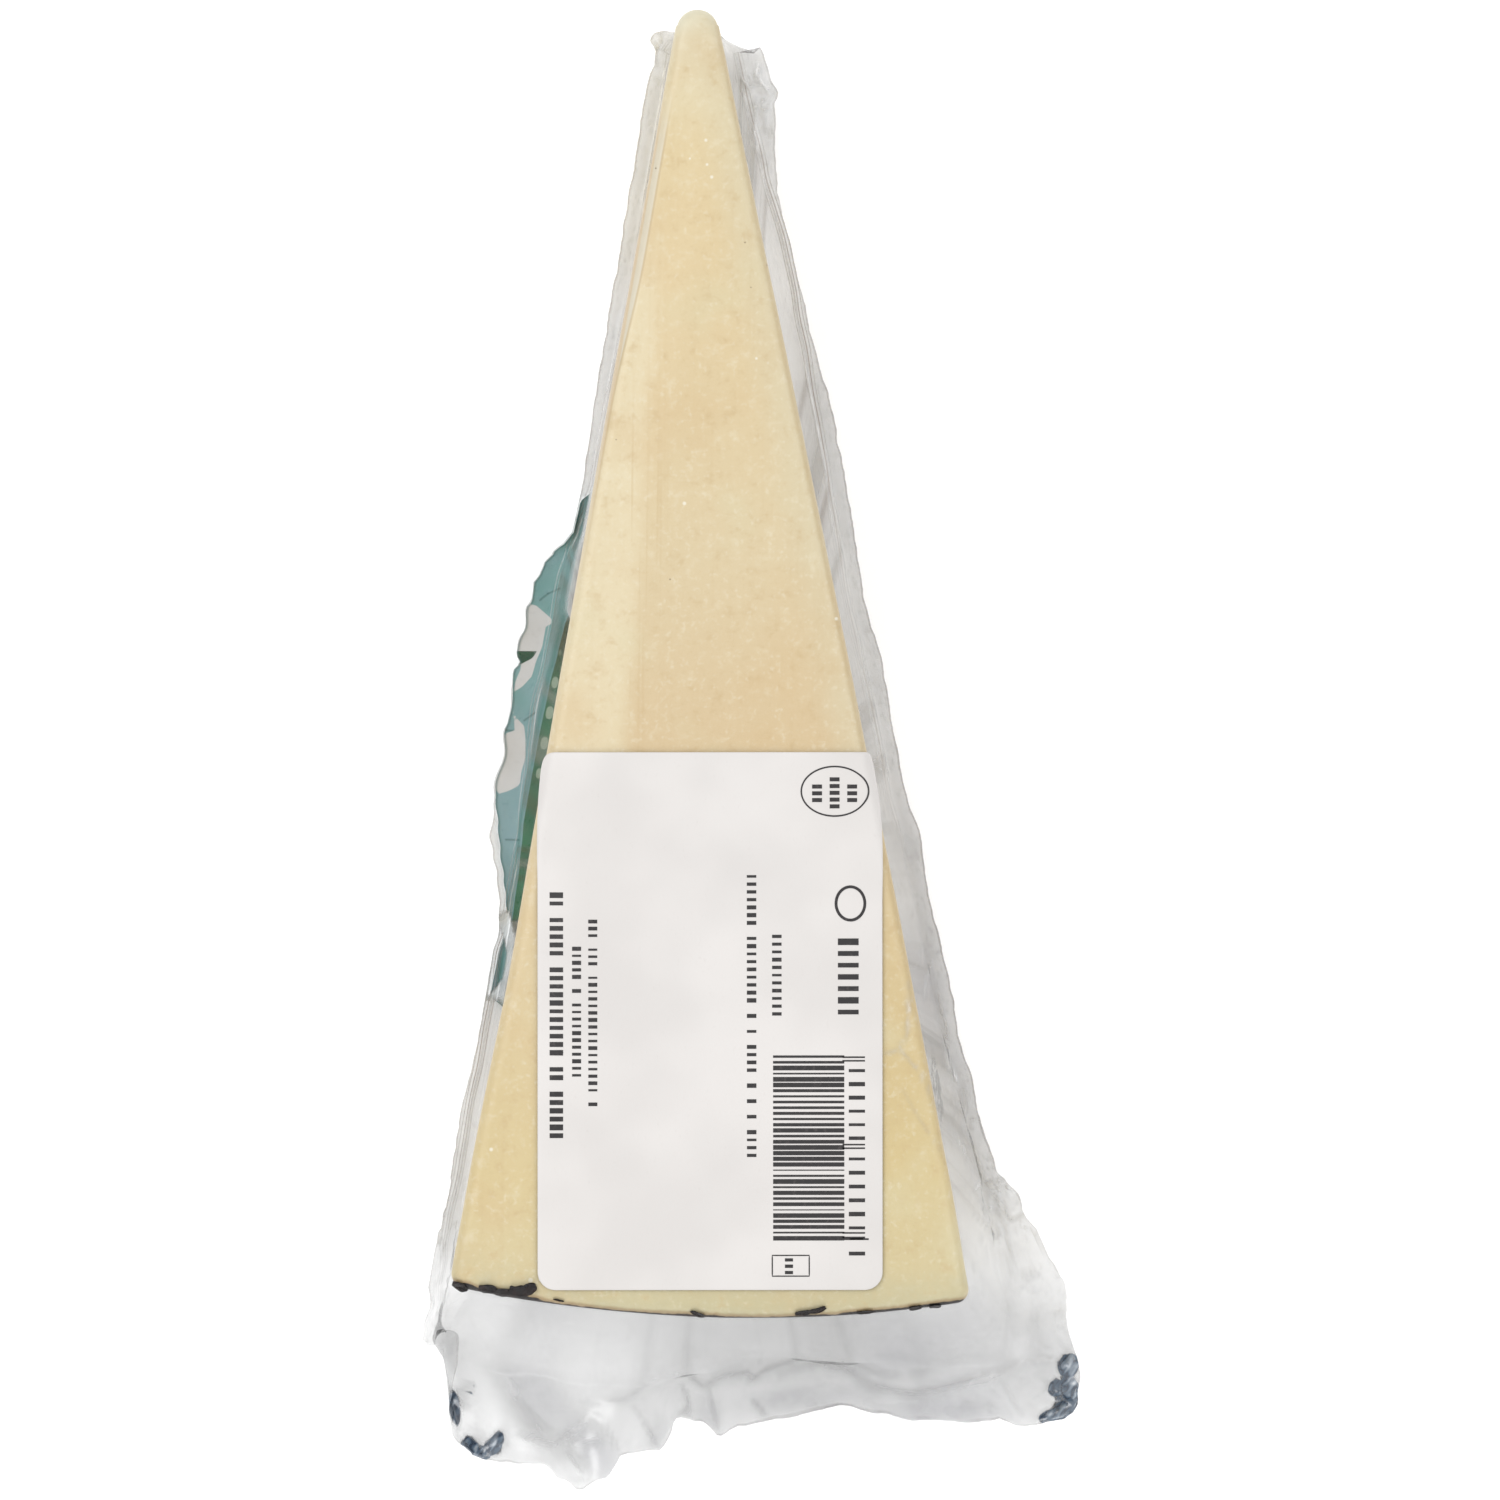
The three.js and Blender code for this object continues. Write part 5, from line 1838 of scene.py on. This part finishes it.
@dataclass(frozen=True)
class GreenLabelFinish:
    """Glossy printed label: a dusty teal rim, a deep green field and a few whitish shapes."""

    roughness: float = 0.3
    block_pitch: float = 3.6

    def material(self) -> Material:
        """Makes the material.

        Returns:
            The material.
        """
        shader = Shader("green_print")
        names = ("along", "reach", "white_and_sheen_depth", "lens_depth", "deep_gap", "edge_gap")
        along, reach, white, lens, deep_gap, edge_gap = (shader.attribute(name) for name in names)
        cloud = shader.noise(3.0, 3.0, 0.6)
        fine = shader.noise(0.6, 3.0, 0.6, seed=3.0)

        teal = shader.mix(paint(134, 190, 190), paint(152, 198, 204), shader.rise(cloud, 0.3, 0.7))
        teal = shader.mix(teal, paint(162, 200, 212), shader.rise(along, 74.0, 88.0) * 0.7)
        teal = shader.mix(teal, paint(92, 166, 162), shader.bell(deep_gap, 0.35, 0.5) * 0.8)
        green = shader.mix(paint(46, 120, 84), paint(62, 138, 98), shader.rise(cloud, 0.3, 0.75))
        green = shader.mix(paint(72, 98, 66), green, shader.rise(along, 68.0, 80.0))
        color = shader.mix(teal, green, shader.rise(deep_gap, 0.06, -0.06) * shader.rise(along, 66.8, 68.2))
        # painted shade along the label's creases
        for ends in CREASE_SHADES:
            color = shader.mix(color, paint(70, 122, 124), self._stroke(shader, along, reach, ends) * 0.6)
        # the whitish print, and a painted pale sheen on the label where the film stands up over it
        color = shader.mix(color, paint(250, 251, 253), shader.rise(white, -0.05, 0.08) * 0.95)
        color = shader.mix(color, paint(14, 84, 58), shader.rise(lens, -0.05, 0.06))
        pitches = along / self.block_pitch
        blocks = shader.bell(pitches - pitches.rounded(), 0.0, 0.30) * shader.bell(along, 80.5, 12.0)
        blocks = blocks * shader.bell(reach, 1.75, 0.62)
        color = shader.mix(color, paint(190, 212, 190), shader.rise(blocks, 0.12, 0.30) * 0.85)
        color = shader.mix(color, paint(62, 128, 124), shader.rise(edge_gap, 0.40, 0.08) * 0.5)
        normal = shader.bump(fine * 0.4 + cloud, 0.05, 0.5)
        rough = (self.roughness + (fine - 0.5) * 0.2).clamped()
        return shader.surface(Base_Color=color, Roughness=rough, Normal=normal)

    @staticmethod
    def _stroke(shader: Shader, along: Wire, reach: Wire, ends: tuple[float, float, float, float]) -> Wire:
        """A thin soft line between two places.

        Args:
            shader: The shader.
            along: The place by along.
            reach: The place by reach.
            ends: The two ends.

        Returns:
            How strong the line is.
        """
        step = (ends[2] - ends[0], ends[3] - ends[1])
        length = math.hypot(*step)
        u = ((along - ends[0]) * step[0] + (reach - ends[1]) * step[1]) / length
        v = ((reach - ends[1]) * step[0] - (along - ends[0]) * step[1]) / length
        past = abs(u - length / 2).most(length / 2) - length / 2
        return shader.rise((v * v + past * past).root(), 0.20, 0.04)


@dataclass
class FrontLabel:
    """The green label on the front, which reaches out under the skirt on the left."""

    shape: WedgeShape
    outline: Outline
    finish: GreenLabelFinish = field(default_factory=GreenLabelFinish)
    start: float = 50.5
    end: float = 127.0
    right_margin: float = 0.6
    end_width: float = 0.3
    end_power: float = 6.0
    bend_from: float = 2.5
    under_film: float = 0.03
    thickness: float = 0.58
    inside_rim: float = 0.08
    flat_columns: int = 12
    bent_columns: int = 36
    flat_reach: float = -9.0

    def build(self) -> Piece:
        """Makes the label.

        Returns:
            The piece.
        """
        shape, outline = self.shape, self.outline
        chosen = outline.on_left & (outline.along > self.start) & (outline.along < self.end)
        along, normal, lift = outline.along[chosen], outline.normal[chosen], outline.lift[chosen]
        radius = along + shape.tip_distance
        half = radius * math.sin(shape.half_angle)
        y = shape.apex_y - radius * math.cos(shape.half_angle)
        seam = shape.bulge(radius) + profile(LEFT_TABLES.seam, along)
        rim = profile(LEFT_TABLES.skirt, along)
        rows = np.linspace(-1.0, 1.0, len(along))
        width = np.maximum(np.sqrt(np.maximum(1.0 - np.abs(rows) ** self.end_power, 0.0)), self.end_width)
        reach = np.minimum(profile(LABEL_REACH, along), rim - self.inside_rim)
        bend = np.minimum(reach, seam) - self.bend_from

        def on_line(out: np.ndarray) -> np.ndarray:
            """Points at a reach from the wedge's side line."""
            share = np.clip((out - seam) / np.maximum(rim - seam, 0.05), 0.0, 1.0)
            height = lift * share**outline.lifts.power
            return np.stack([-half + out * normal[:, 0], y + out * normal[:, 1], height], axis=1)

        right = np.stack([(half - self.right_margin) * width, y, np.zeros_like(y)], axis=1)
        left = on_line(bend)
        columns = [right + (left - right) * j / self.flat_columns for j in range(self.flat_columns)]
        outs = [bend + (reach - bend) * j / self.bent_columns for j in range(self.bent_columns + 1)]
        grid = np.stack(columns + [on_line(out) for out in outs], axis=1)
        upper = grid + (0.0, 0.0, shape.underside - self.under_film)
        data = closed_sheet(upper, upper - (0.0, 0.0, self.thickness))
        out = np.stack([np.full(len(along), self.flat_reach)] * self.flat_columns + outs, axis=1).ravel()
        place, end = (np.repeat(values, grid.shape[1]) for values in (along, reach))
        plan = np.column_stack([place, out])
        values = {
            "along": place, "reach": out, "edge_gap": end - out,
            "deep_gap": out - profile(DEEP_REACH, place),
            # the print's whitish shapes together with the fields of painted sheen
            "white_and_sheen_depth": field_depth(plan, (*WHITE_FIELDS, *SHEEN_FIELDS)),
            "lens_depth": field_depth(plan, (LENS_FIELD,)),
        }
        both = {name: np.tile(numbers, 2) for name, numbers in values.items()}
        return data.piece("green_sheet", self.finish.material(), **both)


# ---------------------------------------------------------------------------------------------------
# The studio


@dataclass(frozen=True)
class FloorFinish:
    """A matt white light table."""

    roughness: float = 0.9
    glow: float = 0.28

    def material(self) -> Material:
        """Makes the material.

        Returns:
            The material.
        """
        shader = Shader("white_table")
        color = shader.mix(paint(226, 226, 226, 1.0), paint(230, 230, 230, 1.0), shader.noise(40.0, 2.0))
        glow = {"Emission_Color": paint(255, 255, 255, 1.0), "Emission_Strength": self.glow}
        return shader.surface(Base_Color=color, Roughness=self.roughness, **glow)


@dataclass(frozen=True)
class Lamp:
    """A soft box: its place in metres, its size and its power."""

    name: str
    place: tuple[float, float, float]
    size: float
    power: float


@dataclass
class Studio:
    """A white table, soft boxes, and the camera straight over the pack."""

    camera_place: tuple[float, float, float] = (4.83, -9.47, 900.0)
    camera_turn: float = math.radians(-0.737)
    view_width: float = 166.5
    view_height_at: float = 40.9
    sensor: float = 36.0
    clip: tuple[float, float] = (0.01, 20.0)
    world_strength: float = 0.80
    table_half: float = 4000.0
    lamps: tuple[Lamp, ...] = (
        Lamp("key", (-0.75, 0.40, 1.15), 0.9, 11.0), Lamp("fill", (0.95, -0.10, 1.1), 1.0, 8.0),
        Lamp("near", (-0.15, -1.2, 0.9), 0.9, 6.0), Lamp("far", (0.1, 1.3, 0.7), 0.8, 3.0),
    )

    def build(self) -> Piece:
        """Makes the table, the lights and the camera.

        Returns:
            The table.
        """
        scene = bpy.context.scene
        half = self.table_half
        table = flat_box(-half, half, -half, half).piece("table", FloorFinish().material())
        for lamp in self.lamps:
            self._light(lamp)
        world = bpy.data.worlds.new("studio")
        world.use_nodes = True
        background = world.node_tree.nodes["Background"]
        background.inputs["Color"].default_value = (1.0, 1.0, 1.0, 1.0)
        background.inputs["Strength"].default_value = self.world_strength
        scene.world = world
        data = bpy.data.cameras.new("camera")
        data.sensor_width = self.sensor
        data.lens = self.sensor * (self.camera_place[2] - self.view_height_at) / self.view_width
        data.clip_start, data.clip_end = self.clip
        camera = bpy.data.objects.new("camera", data)
        camera.location = Vector(self.camera_place) * MM
        camera.rotation_euler = (0.0, 0.0, self.camera_turn)
        scene.collection.objects.link(camera)
        scene.camera = camera
        scene.view_settings.view_transform = "Standard"
        return table

    @staticmethod
    def _light(lamp: Lamp) -> None:
        """Adds one soft box, turned to the pack.

        Args:
            lamp: Its place, size and power.
        """
        data = bpy.data.lights.new(lamp.name, "AREA")
        data.shape = "SQUARE"
        data.size = lamp.size
        data.energy = lamp.power
        light = bpy.data.objects.new(lamp.name, data)
        place = Vector(lamp.place)
        light.location = place
        light.rotation_euler = (-place).to_track_quat("-Z", "Y").to_euler()
        bpy.context.scene.collection.objects.link(light)


def dress(piece: Piece, slot: Slot, *nodes: str) -> None:
    """Ties a piece to the frame.

    Args:
        piece: The piece.
        slot: The record's slot that it belongs to, which is only logged.
        nodes: The CAD nodes that it stands for.
    """
    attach(piece, BODY)
    if nodes:
        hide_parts(*nodes)
    LOG.info("%s: slot %s, replaces %s", piece.name, slot.value, ", ".join(nodes) or "nothing")


def main() -> None:
    """Builds the pack piece by piece, and the studio round it."""
    logging.basicConfig(level=logging.INFO, format="%(message)s")
    shape = WedgeShape()
    outline = Outline(shape)
    film = Film(shape, outline)
    Studio().build()
    dress(film.build(), Slot.FILM, "sealed_pack")
    dress(Cheese(shape, Outline(shape, steps=Steps(14, 150, 9, 70))).build(), Slot.CHEESE, "sealed_pack")
    dress(RindFlakes(shape).build(), Slot.CHEESE)
    sheet, ink = BackLabel(shape).build()
    dress(sheet, Slot.WHITE_LABEL, "back_label")
    dress(ink, Slot.WHITE_LABEL)
    dress(FrontLabel(shape, outline).build(), Slot.GREEN_LABEL, "front_label")


if __name__ == "__main__":
    main()
